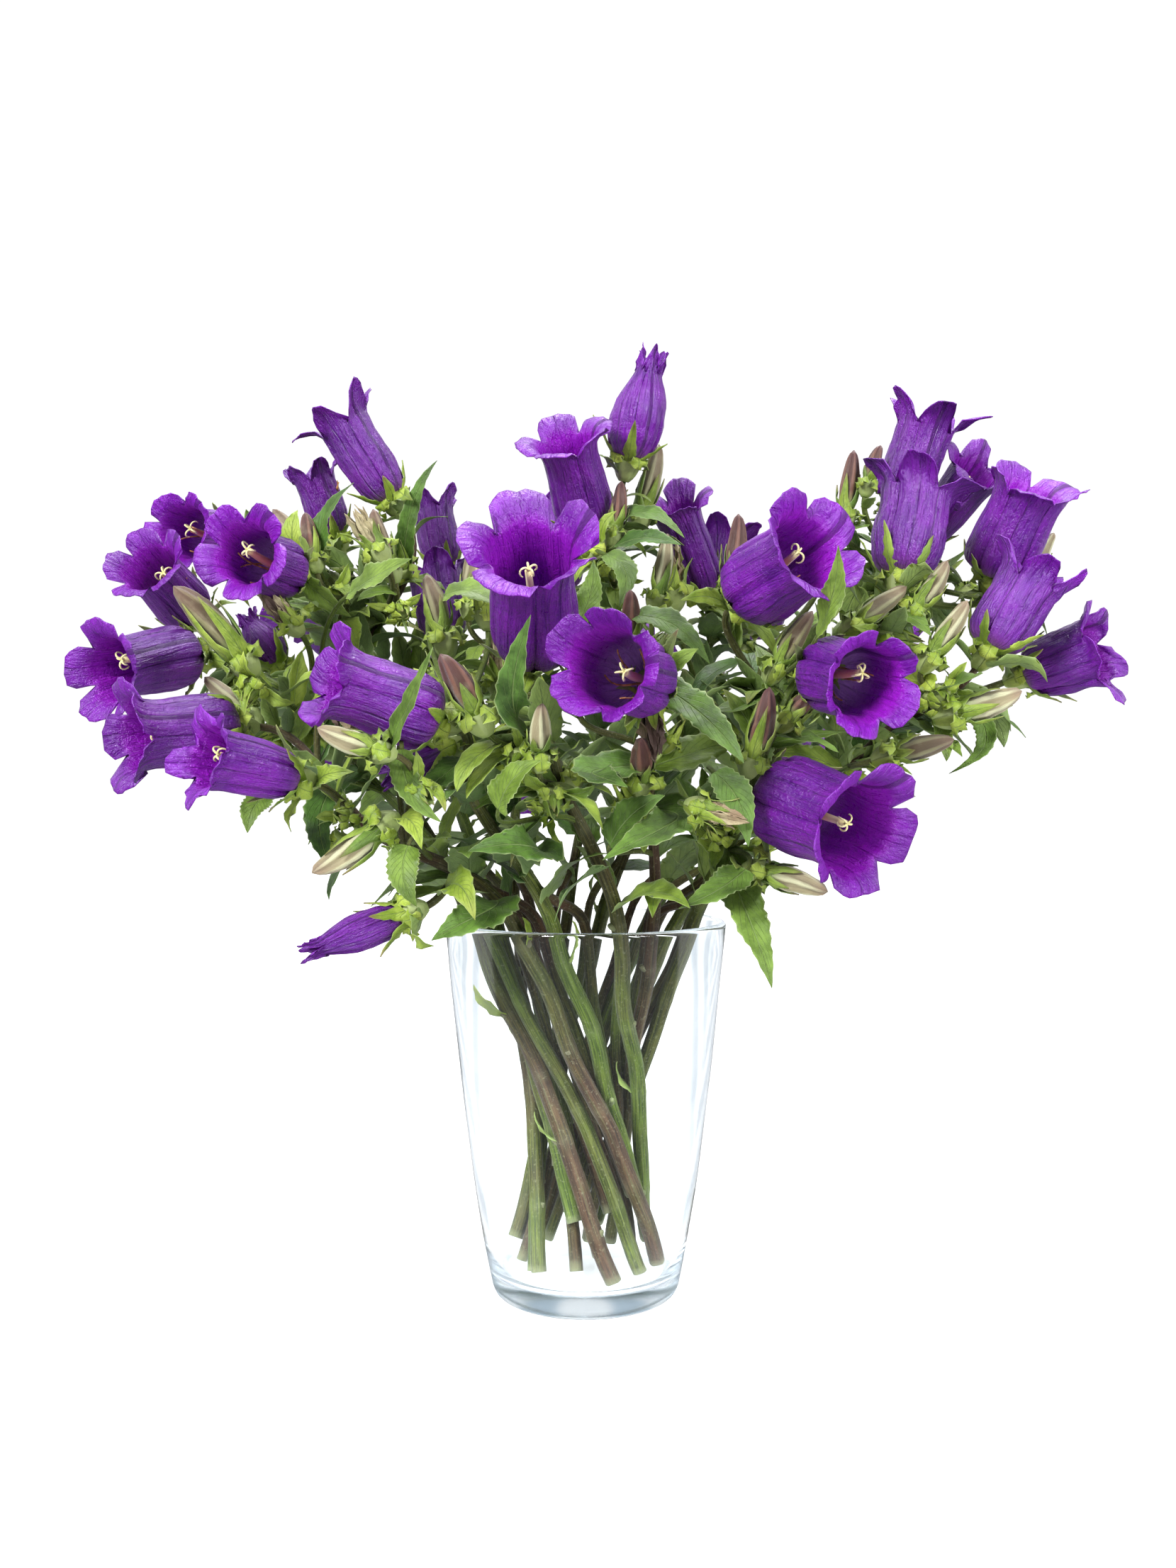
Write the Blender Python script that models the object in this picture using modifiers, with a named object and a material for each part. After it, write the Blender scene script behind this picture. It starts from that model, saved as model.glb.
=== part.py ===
"""Canterbury bells (Campanula medium) standing in a clear tapered glass vase.

Fourteen cut stems stand in the vase as a loose one-handed spiral and fan out above its rim.
Every stem is one grown piece: axis, side shoots, calyx cups, styles, buds and leaves.
Every corolla is a piece of its own, an open bell that drops off its calyx whole.
Units are metres, +Z is up, and the vase stands on z = 0 with its axis on the Z axis.
"""

import math

import bmesh
import bpy
from mathutils import Matrix, Vector

MM = 0.001
GAP = 0.3 * MM  # between a corolla and the calyx cup that carries it

# vase: (radius, height) down the outside from the rim to the foot, and down the inside
VASE_OUTSIDE = [(54.9, 150.0), (56.2, 149.6), (56.6, 148.4), (54.9, 131.0), (50.1, 85.0),
                (44.5, 42.0), (40.5, 18.0), (37.6, 4.0), (36.2, 1.2), (34.0, 0.0)]
VASE_INSIDE = [(31.0, 9.0), (35.6, 11.5), (37.9, 19.0), (41.9, 43.0), (47.4, 85.5), (52.2, 131.5),
               (53.8, 148.4), (54.0, 149.4)]
VASE_STEPS = 30

# spiral of stems: they pass a ring at the waist and lean round it, all the same way
STEM_COUNT = 14
STEM_RADIUS = 3.1 * MM
WAIST_HEIGHT = 70.0 * MM
WAIST_RADII = (17.0 * MM, 22.0 * MM)  # taken in turn
LEAN_BELOW = 0.39
LEAN_ABOVE = 0.50
RIM_HEIGHT = 152.0 * MM
FOOT_HEIGHTS = (12.5, 14.0, 12.0, 17.0, 12.5, 19.0, 26.0, 14.0, 31.0, 22.0, 13.0, 16.0, 34.0, 12.5)  # mm

# corollas: (share of the tube's length, radius of the grooves, radius of the ribs or lobe tips) in mm
COROLLA_THICKNESS = 0.8 * MM
SHAPES = {
    "open": [(0.0, 4.6, 4.6), (0.11, 13.2, 13.2), (0.88, 15.4, 16.2), (1.03, 18.2, 18.2)],
    "half": [(0.0, 4.6, 4.6), (0.12, 10.2, 10.6), (0.90, 11.6, 12.8), (1.04, 12.0, 12.0)],
    "star": [(0.0, 4.6, 4.6), (0.12, 9.2, 9.6), (0.90, 11.4, 12.2), (1.00, 12.8, 12.8)],
    "shut": [(0.0, 4.6, 4.8), (0.14, 8.6, 9.4), (0.50, 9.6, 11.6), (0.84, 6.6, 9.6), (1.12, 2.6, 4.4)],
}
LOBES = {"open": (1.14, 24.0), "half": (1.34, 16.4), "star": (1.42, 21.5)}  # (share, radius) of the lobe tips
STYLE_LENGTH = 30.0 * MM

# leaning point of each stem's axis above the rim, mm
HUBS = [(-103, -8, 226), (-84, -52, 192), (-42, -62, 203), (-11, -58, 212), (24, -56, 208), (57, -42, 188),
        (72, -14, 228), (117, 2, 222), (98, 44, 240), (48, 68, 235), (8, 58, 240), (-30, 70, 230),
        (-66, 62, 230), (-96, 24, 242)]

# corollas: name, stem, shape, width factor, centre of the base and centre of the mouth, mm.
# The first one named for a stem stands at the end of its axis.
BELLS = [
    ("bell_01", 11, "shut", 1.0, (18, 25, 342), (26, 20, 379)),
    ("bell_02", 11, "open", 0.82, (1, 26, 313), (-6, 4, 343)),
    ("bell_03", 4, "open", 1.05, (-19, -50, 253), (-17, -90, 284)),
    ("bell_04", 5, "open", 0.92, (22, -72, 242), (9, -110, 242)),
    ("bell_05", 10, "open", 0.72, (53, 70, 292), (42, 50, 324)),
    ("bell_06", 10, "half", 0.9, (62, 88, 284), (67, 93, 322)),
    ("bell_07", 7, "open", 1.05, (60, -36, 276), (80, -65, 290)),
    ("bell_08", 6, "open", 0.92, (87, -53, 246), (98, -88, 241)),
    ("bell_09", 9, "half", 1.0, (134, 35, 323), (145, 30, 363)),
    ("bell_10", 7, "half", 1.14, (121, -30, 284), (132, -20, 324)),
    ("bell_11", 9, "star", 0.9, (153, 64, 316), (168, 40, 339)),
    ("bell_12", 9, "open", 0.98, (169, 15, 291), (178, -1, 322)),
    ("bell_13", 8, "half", 1.05, (156, -25, 257), (174, -25, 287)),
    ("bell_14", 8, "star", 1.1, (181, 10, 250), (204, -5, 259)),
    ("bell_15", 6, "open", 1.18, (70, -48, 201), (94, -82, 188)),
    ("bell_16", 14, "half", 1.02, (-82, 30, 326), (-103, 25, 356)),
    ("bell_17", 14, "half", 0.75, (-112, 60, 315), (-120, 55, 342)),
    ("bell_18", 14, "open", 0.85, (-157, 52, 311), (-168, 22, 312)),
    ("bell_19", 14, "open", 0.88, (-116, -20, 288), (-126, -54, 289)),
    ("bell_20", 1, "open", 0.8, (-163, 12, 275), (-171, -14, 291)),
    ("bell_21", 1, "open", 0.9, (-156, -12, 256), (-177, -43, 250)),
    ("bell_22", 2, "open", 0.96, (-131, -44, 226), (-160, -67, 223)),
    ("bell_23", 2, "star", 1.0, (-102, -77, 207), (-127, -100, 215)),
    ("bell_24", 3, "open", 1.02, (-52, -70, 228), (-85, -86, 240)),
    ("bell_25", 2, "shut", 0.6, (-65, -70, 158), (-93, -80, 148)),
    ("bell_26", 13, "half", 0.95, (-62, 50, 268), (-66, 56, 300)),
    ("bell_27", 13, "half", 0.8, (-66, 94, 306), (-74, 97, 336)),
    ("bell_28", 3, "shut", 0.7, (-54, -34, 218), (-74, -36, 209)),
    ("bell_29", 12, "half", 0.9, (-30, 30, 268), (-32, 30, 300)),
    ("bell_30", 1, "shut", 0.75, (-134, 42, 256), (-146, 40, 275)),
    ("bell_31", 12, "open", 0.95, (-15, 92, 298), (-18, 113, 326)),
    ("bell_32", 12, "open", 0.95, (-58, 104, 252), (-75, 136, 258)),
    ("bell_33", 11, "open", 0.95, (22, 98, 258), (26, 134, 264)),
    ("bell_34", 10, "open", 0.95, (78, 100, 282), (90, 128, 304)),
    ("bell_35", 9, "open", 0.95, (122, 84, 262), (146, 112, 272)),
    ("bell_36", 12, "half", 1.0, (-14, 122, 212), (-20, 152, 204)),
    ("bell_37", 10, "open", 0.95, (84, 88, 222), (108, 116, 214)),
    ("bell_38", 13, "open", 0.95, (-112, 92, 274), (-136, 118, 290)),
    ("bell_39", 13, "star", 1.0, (-98, 88, 226), (-124, 108, 222)),
]

# buds: stem, base of the calyx, tip, widest radius, mm
BUDS = [
    (11, (24, 36, 322), (33, 35, 351), 4.6), (7, (59, -12, 286), (62, -10, 312), 4.4),
    (9, (110, 26, 320), (114, 28, 346), 4.4), (8, (142, -36, 232), (165, -42, 238), 5.0),
    (8, (116, -44, 216), (136, -52, 222), 4.6), (6, (61, -62, 215), (68, -68, 239), 4.6),
    (1, (-127, -56, 252), (-145, -70, 277), 6.0), (14, (-114, 12, 300), (-130, 14, 320), 4.2),
    (14, (-80, 2, 294), (-88, 0, 316), 4.2), (3, (-54, -42, 262), (-58, -44, 284), 4.8),
    (4, (-38, -84, 230), (-48, -92, 250), 5.0), (2, (-74, -72, 188), (-94, -82, 172), 5.0),
    (6, (66, -56, 172), (88, -66, 168), 4.8), (12, (-48, 12, 280), (-46, 10, 303), 4.0),
    (8, (131, -42, 254), (143, -48, 273), 4.4), (11, (12, 36, 274), (22, 62, 288), 4.4),
    (13, (-70, 104, 280), (-80, 122, 292), 4.4), (9, (118, 62, 238), (140, 76, 236), 4.6),
]

# leaves: stem, root, middle and tip of the blade, half width, mm
LEAVES = [
    (2, (-71, -92, 208), (-60, -104, 228), (-50, -112, 250), 5),
    (4, (-31, -88, 222), (-25, -100, 242), (-18, -108, 261), 6),
    (5, (-8, -84, 209), (2, -98, 209), (14, -112, 204), 7),
    (3, (-6, -66, 181), (-22, -82, 187), (-40, -92, 182), 8),
    (5, (46, -66, 194), (25, -82, 190), (6, -92, 179), 8),
    (5, (34, -76, 236), (46, -90, 226), (54, -96, 212), 6),
    (6, (52, -60, 168), (61, -76, 155), (65, -84, 134), 7),
    (2, (-29, -64, 160), (-40, -80, 159), (-53, -88, 151), 8),
    (8, (156, -22, 230), (163, -30, 219), (139, -34, 209), 4),
    (1, (-102, -44, 204), (-101, -56, 188), (-92, -60, 174), 6),
    (14, (-77, 18, 296), (-75, 10, 324), (-61, 8, 338), 4),
    (10, (52, 92, 226), (60, 112, 222), (64, 128, 206), 7),
    (12, (-36, 96, 218), (-46, 116, 216), (-52, 132, 200), 7),
    (13, (-92, 74, 206), (-104, 86, 194), (-108, 92, 176), 7),
    (9, (96, 60, 216), (112, 74, 206), (118, 84, 188), 7),
]


def millimetres(point):
    return Vector(point) * MM


def material(name, colour, roughness, transmission=0.0):
    mat = bpy.data.materials.new(name)
    mat.use_nodes = True
    shader = mat.node_tree.nodes["Principled BSDF"]
    shader.inputs["Base Color"].default_value = (*colour, 1.0)
    shader.inputs["Roughness"].default_value = roughness
    shader.inputs["Metallic"].default_value = 0.0
    shader.inputs["Transmission Weight"].default_value = transmission
    mat.diffuse_color = (*colour, 1.0)
    return mat


def new_object(name, mesh, mat=None):
    obj = bpy.data.objects.new(name, mesh)
    bpy.context.scene.collection.objects.link(obj)
    if mat:
        mesh.materials.append(mat)
    return obj


def evaluated_mesh(obj):
    """The object's mesh with its modifiers carried out, its loose caps welded and its faces outward."""
    graph = bpy.context.evaluated_depsgraph_get()
    mesh = bpy.data.meshes.new_from_object(obj.evaluated_get(graph))
    bm = bmesh.new()
    bm.from_mesh(mesh)
    bmesh.ops.remove_doubles(bm, verts=bm.verts, dist=1e-6)
    bmesh.ops.recalc_face_normals(bm, faces=bm.faces)
    bm.to_mesh(mesh)
    bm.free()
    return mesh


def frozen(obj):
    """Replaces an object by a plain mesh object in the same place."""
    mesh, place = evaluated_mesh(obj), obj.matrix_world.copy()
    bpy.data.objects.remove(obj)
    out = new_object("piece", mesh)
    out.matrix_world = place
    return out


def bezier(a, b, c, d, count):
    points = []
    for i in range(count):
        t = i / (count - 1)
        s = 1 - t
        points.append(a * s**3 + b * (3 * s * s * t) + c * (3 * s * t * t) + d * t**3)
    return points


def tube(points, radii, sides_step):
    """A round rod along the points, tapered by its radii, with closed ends."""
    curve = bpy.data.curves.new("rod", "CURVE")
    curve.dimensions = "3D"
    curve.bevel_depth = 1.0
    curve.bevel_resolution = sides_step
    curve.use_fill_caps = True
    spline = curve.splines.new("POLY")
    spline.points.add(len(points) - 1)
    for slot, point, radius in zip(spline.points, points, radii):
        slot.co = (*point, 1.0)
        slot.radius = radius
    obj = bpy.data.objects.new("rod", curve)
    bpy.context.scene.collection.objects.link(obj)
    return frozen(obj)


def aim(origin, direction, roll=0.0):
    """Places a piece made along +Z at the origin, pointing along the direction."""
    turn = direction.to_track_quat("Z", "Y").to_matrix().to_4x4()
    return Matrix.Translation(origin) @ turn @ Matrix.Rotation(roll, 4, "Z")


def cone(origin, direction, length, radius_a, radius_b, sides=7):
    bm = bmesh.new()
    bmesh.ops.create_cone(bm, cap_ends=True, segments=sides, radius1=radius_a, radius2=radius_b, depth=length)
    bmesh.ops.translate(bm, verts=bm.verts, vec=(0, 0, length / 2))
    mesh = bpy.data.meshes.new("cone")
    bm.to_mesh(mesh)
    bm.free()
    obj = new_object("piece", mesh)
    obj.matrix_world = aim(origin, direction)
    return obj


def egg(origin, direction, length, radius):
    """A pointed bud: a ball drawn out towards its tip."""
    bm = bmesh.new()
    bmesh.ops.create_uvsphere(bm, u_segments=7, v_segments=4, radius=1.0)
    for v in bm.verts:
        up = (v.co.z + 1) / 2
        width = radius * (1.0 - 0.35 * up * up)
        v.co = Vector((v.co.x * width, v.co.y * width, up * length))
    mesh = bpy.data.meshes.new("egg")
    bm.to_mesh(mesh)
    bm.free()
    obj = new_object("piece", mesh)
    obj.matrix_world = aim(origin, direction)
    return obj


def blade(start, root, middle, tip, half_width):
    """A lance-shaped leaf folded a little along its midrib, from an open sheet with thickness."""
    line = bezier(start, root, middle, tip, 6)
    shares = (0.16, 0.30, 0.80, 1.0, 0.70, 0.10)
    bm = bmesh.new()
    rows = []
    for i, point in enumerate(line):
        along = (line[min(i + 1, 5)] - line[max(i - 1, 0)]).normalized()
        side = along.cross(Vector((0, 0, 1)))
        side = side.normalized() if side.length > 0.2 else Vector((1, 0, 0))
        lift = side.cross(along) * (0.3 * shares[i] * half_width)
        wide = side * (half_width * shares[i])
        rows.append([bm.verts.new(point - wide + lift), bm.verts.new(point), bm.verts.new(point + wide + lift)])
    for a, b in zip(rows, rows[1:]):
        for j in range(2):
            bm.faces.new((a[j], a[j + 1], b[j + 1], b[j]))
    mesh = bpy.data.meshes.new("blade")
    bm.to_mesh(mesh)
    bm.free()
    obj = new_object("piece", mesh)
    solid = obj.modifiers.new("thickness", "SOLIDIFY")
    solid.thickness = 0.9 * MM
    solid.offset = 0.0
    return frozen(obj)


def union(name, pieces, mat, home):
    """Grows the pieces together into one closed body."""
    core, others = pieces[0], bpy.data.collections.new(name + "_growth")
    for piece in pieces[1:]:
        others.objects.link(piece)
    grow = core.modifiers.new("union", "BOOLEAN")
    grow.operation = "UNION"
    grow.solver = "EXACT"
    grow.operand_type = "COLLECTION"
    grow.collection = others
    graph = bpy.context.evaluated_depsgraph_get()
    mesh = bpy.data.meshes.new_from_object(core.evaluated_get(graph))
    place = core.matrix_world.copy()
    for piece in pieces:
        bpy.data.objects.remove(piece)
    bpy.data.collections.remove(others)
    mesh.transform(place)
    mesh.materials.clear()
    mesh.materials.append(mat)
    mesh.name = name
    mesh.shade_smooth()
    mesh.set_sharp_from_angle(angle=math.radians(50))
    obj = bpy.data.objects.new(name, mesh)
    home.objects.link(obj)
    return obj


def build_vase(mat, home):
    profile = [(0.0, VASE_INSIDE[0][1])] + VASE_INSIDE + VASE_OUTSIDE + [(0.0, 0.0)]
    mesh = bpy.data.meshes.new("vase")
    verts = [(r * MM, 0.0, z * MM) for r, z in profile]
    mesh.from_pydata(verts, [(i, i + 1) for i in range(len(verts) - 1)], [])
    mesh.materials.append(mat)
    vase = bpy.data.objects.new("vase", mesh)
    home.objects.link(vase)
    turn = vase.modifiers.new("turn", "SCREW")
    turn.steps = turn.render_steps = VASE_STEPS
    turn.use_merge_vertices = True
    turn.merge_threshold = 0.0001
    turn.use_smooth_shade = True
    return vase


def stem_axis(index, end, heading):
    """The axis of one stem: straight through the spiral, then bending out to its hub and its last flower."""
    angle = math.radians(-90 + 360 / STEM_COUNT * index)
    ring = WAIST_RADII[index % 2]
    out = Vector((math.cos(angle), math.sin(angle), 0)) * ring
    lean = Vector((math.sin(angle), -math.cos(angle), 0))

    def at(height):
        rise = height - WAIST_HEIGHT
        return out + lean * (rise * (LEAN_ABOVE if rise > 0 else LEAN_BELOW)) + Vector((0, 0, height))

    heights = [FOOT_HEIGHTS[index] * MM, WAIST_HEIGHT, 108 * MM, RIM_HEIGHT]
    points = [at(h) for h in heights]
    rise = (points[-1] - points[-2]).normalized()
    hub = millimetres(HUBS[index])
    reach = (hub - points[-1]).length
    to_end = end - hub
    through = (rise + (hub - points[-1]).normalized() + to_end.normalized()).normalized()
    points += bezier(points[-1], points[-1] + rise * (0.4 * reach), hub - through * (0.3 * reach), hub, 4)[1:]
    reach = to_end.length
    points += bezier(hub, hub + through * (0.35 * reach), end - heading * (0.4 * reach), end, 4)[1:]
    return points


def shoot_start(axis, target):
    """Where a side shoot leaves the axis: near its target, but low enough to rise to it at a slant."""
    best = None
    for a, b in zip(axis[3:-2], axis[4:-1]):
        for share in (0.0, 0.35, 0.7):
            point = a.lerp(b, share)
            run = target - point
            steep = max(0.0, 0.45 - run.normalized().dot((b - a).normalized()))
            cost = run.length * (1 + 2.5 * steep)
            if best is None or cost < best[0]:
                best = (cost, point, (b - a).normalized())
    return best[1], best[2]


def shoot(axis, target, heading, radius):
    start, grain = shoot_start(axis, target)
    reach = (target - start).length
    leave = (grain + (target - start).normalized()).normalized()
    points = bezier(start, start + leave * (0.35 * reach), target - heading * (0.35 * reach), target, 4)
    return tube(points, [radius * 1.2, radius, radius, radius], 1)


def calyx_cup(base, heading):
    return cone(base - heading * (9.3 * MM), heading, 9.0 * MM, 2.4 * MM, 6.8 * MM)


def build_stem(index, mat, home):
    bells = [b for b in BELLS if b[1] == index + 1]
    ends = []
    for bell in bells:
        base, mouth = millimetres(bell[4]), millimetres(bell[5])
        ends.append((base, (mouth - base).normalized(), bell[2]))
    base, heading, _ = ends[0]
    axis = stem_axis(index, base - heading * (7 * MM), heading)
    count = len(axis)
    radii = [STEM_RADIUS * (1.0 - 0.42 * max(0, i - 3) / (count - 4)) for i in range(count)]
    pieces = [tube(axis, radii, 2)]
    for k, (base, heading, shape) in enumerate(ends):
        if k:
            pieces.append(shoot(axis, base - heading * (7 * MM), heading, 1.3 * MM))
        pieces.append(calyx_cup(base, heading))
        if shape != "shut":
            pieces.append(cone(base - heading * (3 * MM), heading, STYLE_LENGTH, 0.9 * MM, 1.6 * MM, 5))
    for stem, root, tip, radius in BUDS:
        if stem == index + 1:
            root, tip = millimetres(root), millimetres(tip)
            heading = (tip - root).normalized()
            pieces.append(shoot(axis, root + heading * (2 * MM), heading, 1.1 * MM))
            pieces.append(egg(root, heading, (tip - root).length, radius * MM))
    for stem, root, middle, tip, half_width in LEAVES:
        if stem == index + 1:
            root, middle, tip = millimetres(root), millimetres(middle), millimetres(tip)
            start = shoot_start(axis, root)[0]
            pieces.append(blade(start, root, middle, tip, half_width * MM))
    return union(f"stem_{index + 1:02d}", pieces, mat, home)


def build_bell(name, shape, width, base, mouth, mat, home):
    """A five-lobed bell: a loft from its round base to its lobes, with three points a lobe on a wide one."""
    base, mouth = millimetres(base), millimetres(mouth)
    length = (mouth - base).length
    rings = [(max(share * length, GAP), groove * MM, rib * MM) for share, groove, rib in SHAPES[shape]]
    points = 3 if shape == "open" else 2
    bm = bmesh.new()
    rows = []
    for i, (z, groove, rib) in enumerate(rings):
        grow = 1.0 if i == 0 else width
        last = i == len(rings) - 1 and shape in LOBES
        row = []
        for k in range(5 * points):
            tip = k % points != 0
            r, height = (rib if tip else groove) * grow, z
            if last and tip:
                height, r = LOBES[shape][0] * length, LOBES[shape][1] * MM * width
            turn = math.radians(72 / points * k)
            row.append(bm.verts.new((r * math.cos(turn), r * math.sin(turn), height)))
        rows.append(row)
    for a, b in zip(rows, rows[1:]):
        for k in range(5 * points):
            n = (k + 1) % (5 * points)
            bm.faces.new((a[k], a[n], b[n], b[k]))
    if shape == "shut":
        bm.faces.new(rows[0][::-1])
        bm.faces.new(rows[-1])
    mesh = bpy.data.meshes.new(name)
    bm.to_mesh(mesh)
    bm.free()
    mesh.materials.append(mat)
    mesh.shade_smooth()
    mesh.set_sharp_from_angle(angle=math.radians(50))
    bell = bpy.data.objects.new(name, mesh)
    home.objects.link(bell)
    bell.matrix_world = aim(base, (mouth - base).normalized())
    if shape != "shut":
        solid = bell.modifiers.new("thickness", "SOLIDIFY")
        solid.thickness = COROLLA_THICKNESS
        solid.offset = -1.0
    return bell


def main():
    for old in list(bpy.data.objects):
        bpy.data.objects.remove(old, do_unlink=True)
    home = bpy.data.collections.new("bellflower_in_vase")
    bpy.context.scene.collection.children.link(home)
    glass = material("clear_glass", (0.93, 0.97, 0.98), 0.03, 1.0)
    green = material("stem_green", (0.16, 0.25, 0.07), 0.55)
    violet = material("petal_violet", (0.13, 0.01, 0.33), 0.5)
    build_vase(glass, home)
    for index in range(STEM_COUNT):
        build_stem(index, green, home)
    for name, _, shape, width, base, mouth in BELLS:
        build_bell(name, shape, width, base, mouth, violet, home)


main()
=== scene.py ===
import math

import bpy
import numpy as np
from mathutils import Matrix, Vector


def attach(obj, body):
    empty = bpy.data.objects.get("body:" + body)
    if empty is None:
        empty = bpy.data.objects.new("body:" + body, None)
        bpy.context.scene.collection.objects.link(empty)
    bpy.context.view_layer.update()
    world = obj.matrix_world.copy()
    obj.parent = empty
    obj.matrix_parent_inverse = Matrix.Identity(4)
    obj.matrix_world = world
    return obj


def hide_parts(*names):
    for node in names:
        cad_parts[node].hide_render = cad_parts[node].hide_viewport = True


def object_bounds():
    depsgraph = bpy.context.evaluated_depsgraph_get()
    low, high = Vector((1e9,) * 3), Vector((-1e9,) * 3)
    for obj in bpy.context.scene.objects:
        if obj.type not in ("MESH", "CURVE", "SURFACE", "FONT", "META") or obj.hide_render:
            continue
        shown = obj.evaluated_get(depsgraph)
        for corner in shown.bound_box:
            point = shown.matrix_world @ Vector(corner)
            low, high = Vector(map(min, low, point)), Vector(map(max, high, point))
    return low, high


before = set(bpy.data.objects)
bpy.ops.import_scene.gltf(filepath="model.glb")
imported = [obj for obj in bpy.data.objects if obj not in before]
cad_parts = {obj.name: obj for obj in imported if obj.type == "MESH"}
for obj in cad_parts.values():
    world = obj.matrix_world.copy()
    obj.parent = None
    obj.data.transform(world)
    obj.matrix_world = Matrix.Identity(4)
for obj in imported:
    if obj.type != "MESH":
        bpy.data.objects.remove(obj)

CAD_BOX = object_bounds()
CAMERA_PLACE = np.array((0.001, -0.59, 0.205))
MM = 0.001
TAU = 2 * math.pi
UP = np.array((0.0, 0.0, 1.0))
SIDEWAYS = np.array((1.0, 0.0, 0.0))
AWAY = np.array((0.0, 1.0, 0.0))

# ---------------------------------------------------------------- layout, as the CAD model has it (mm)
STEM_COUNT = 14
WAIST_HEIGHT, RIM_HEIGHT = 70.0, 152.0
WAIST_RADII = (17.0, 22.0)
LEAN_BELOW, LEAN_ABOVE = 0.39, 0.50
FOOT_HEIGHTS = (12.5, 14.0, 12.0, 17.0, 12.5, 19.0, 26.0, 14.0, 31.0, 22.0, 13.0, 16.0, 34.0, 12.5)
SIDE_FOOT_HEIGHTS = (14, 40, 15, 58, 13, 24, 16, 66, 14, 30, 52, 15, 20, 36)
STEM_MAROON = (0.15, 0.95, 0.1, 0.35, 0.8, 0.2, 0.55, 0.7, 0.1, 0.45, 0.25, 0.6, 0.05, 0.75)
HUBS = [(-103, -8, 226), (-84, -52, 192), (-42, -62, 203), (-11, -58, 212), (24, -56, 208), (57, -42, 188),
        (72, -14, 228), (117, 2, 222), (98, 44, 240), (48, 68, 235), (8, 58, 240), (-30, 70, 230),
        (-66, 62, 230), (-96, 24, 242)]

# corollas, bell_01 and on: stem, shape, width factor, base, mouth, and what is its own: roll of the lobes
# (degrees, 0 has a lobe to the right of the mouth as seen from the front), and its tube, lobe length, tip
# angle (curl) and width, relative to its shape's
BELLS = [
    (11, "shut", 1.0, (18, 25, 342), (26, 20, 379), {}),
    (11, "open", 0.82, (1, 26, 313), (-6, 4, 343), dict(roll=50, curl=1.1)),
    (4, "open", 1.05, (-19, -50, 253), (-17, -90, 284), dict(roll=18, curl=1.0, lobe=1.05)),
    (5, "open", 0.92, (22, -72, 242), (9, -110, 242), dict(roll=6, curl=0.8, lobe=0.85)),
    (10, "open", 0.72, (53, 70, 292), (42, 50, 324), dict(roll=30)),
    (10, "half", 0.9, (62, 88, 284), (67, 93, 322), {}),
    (7, "open", 1.05, (60, -36, 276), (80, -65, 290), dict(roll=28, curl=0.8)),
    (6, "open", 0.92, (87, -53, 246), (98, -88, 241), dict(roll=45, curl=0.65, lobe=0.9)),
    (9, "half", 1.0, (134, 35, 323), (145, 30, 363), dict(roll=20, tube=0.92, lobe=1.2, curl=1.25)),
    (7, "half", 1.14, (121, -30, 284), (132, -20, 324), dict(roll=60, tube=0.86, curl=1.45)),
    (9, "star", 0.9, (153, 64, 316), (168, 40, 339), {}),
    (9, "open", 0.98, (169, 15, 291), (178, -1, 322), dict(roll=12, curl=1.05)),
    (8, "half", 1.05, (156, -25, 257), (174, -25, 287), dict(roll=40, tube=0.94, curl=0.75, lobe=1.2)),
    (8, "star", 1.1, (181, 10, 250), (204, -5, 259), dict(roll=62, curl=0.95, width=1.08, lobe=1.2)),
    (6, "open", 1.18, (70, -48, 201), (94, -82, 188), dict(roll=70, curl=1.05, lobe=0.95)),
    (14, "half", 1.02, (-82, 30, 326), (-103, 25, 356),
     dict(roll=30, tube=1.06, lobe=1.15, curl=1.1, width=0.9)),
    (14, "half", 0.75, (-112, 60, 315), (-120, 55, 342), dict(roll=10, curl=0.7)),
    (14, "open", 0.85, (-157, 52, 311), (-168, 22, 312), dict(roll=60, width=0.95)),
    (14, "open", 0.88, (-116, -20, 288), (-126, -54, 289), dict(roll=63, width=0.9)),
    (1, "open", 0.8, (-163, 12, 275), (-171, -14, 291), dict(roll=40, width=0.95)),
    (1, "open", 0.9, (-156, -12, 256), (-177, -43, 250), dict(roll=34, width=0.93)),
    (2, "open", 0.96, (-131, -44, 226), (-160, -67, 223), dict(roll=28, width=0.93)),
    (2, "star", 1.0, (-102, -77, 207), (-127, -100, 215), dict(roll=55, width=0.92, lobe=0.85)),
    (3, "open", 1.02, (-52, -70, 228), (-85, -86, 240), dict(roll=35, width=0.88, lobe=0.85, curl=0.9)),
    (2, "shut", 0.6, (-65, -70, 158), (-93, -80, 148), {}),
    (13, "half", 0.95, (-62, 50, 268), (-66, 56, 300), {}),
    (13, "half", 0.8, (-66, 94, 306), (-74, 97, 336), {}),
    (3, "shut", 0.7, (-54, -34, 218), (-74, -36, 209), {}),
    (12, "half", 0.9, (-30, 30, 268), (-32, 30, 300), {}),
    (1, "shut", 0.75, (-134, 42, 256), (-146, 40, 275), {}),
    (12, "open", 0.95, (-15, 92, 298), (-18, 113, 326), {}),
    (12, "open", 0.95, (-58, 104, 252), (-75, 136, 258), {}),
    (11, "open", 0.95, (22, 98, 258), (26, 134, 264), {}),
    (10, "open", 0.95, (78, 100, 282), (90, 128, 304), {}),
    (9, "open", 0.95, (122, 84, 262), (146, 112, 272), {}),
    (12, "half", 1.0, (-14, 122, 212), (-20, 152, 204), {}),
    (10, "open", 0.95, (84, 88, 222), (108, 116, 214), {}),
    (13, "open", 0.95, (-112, 92, 274), (-136, 118, 290), {}),
    (13, "star", 1.0, (-98, 88, 226), (-124, 108, 222), {}),
]

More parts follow.
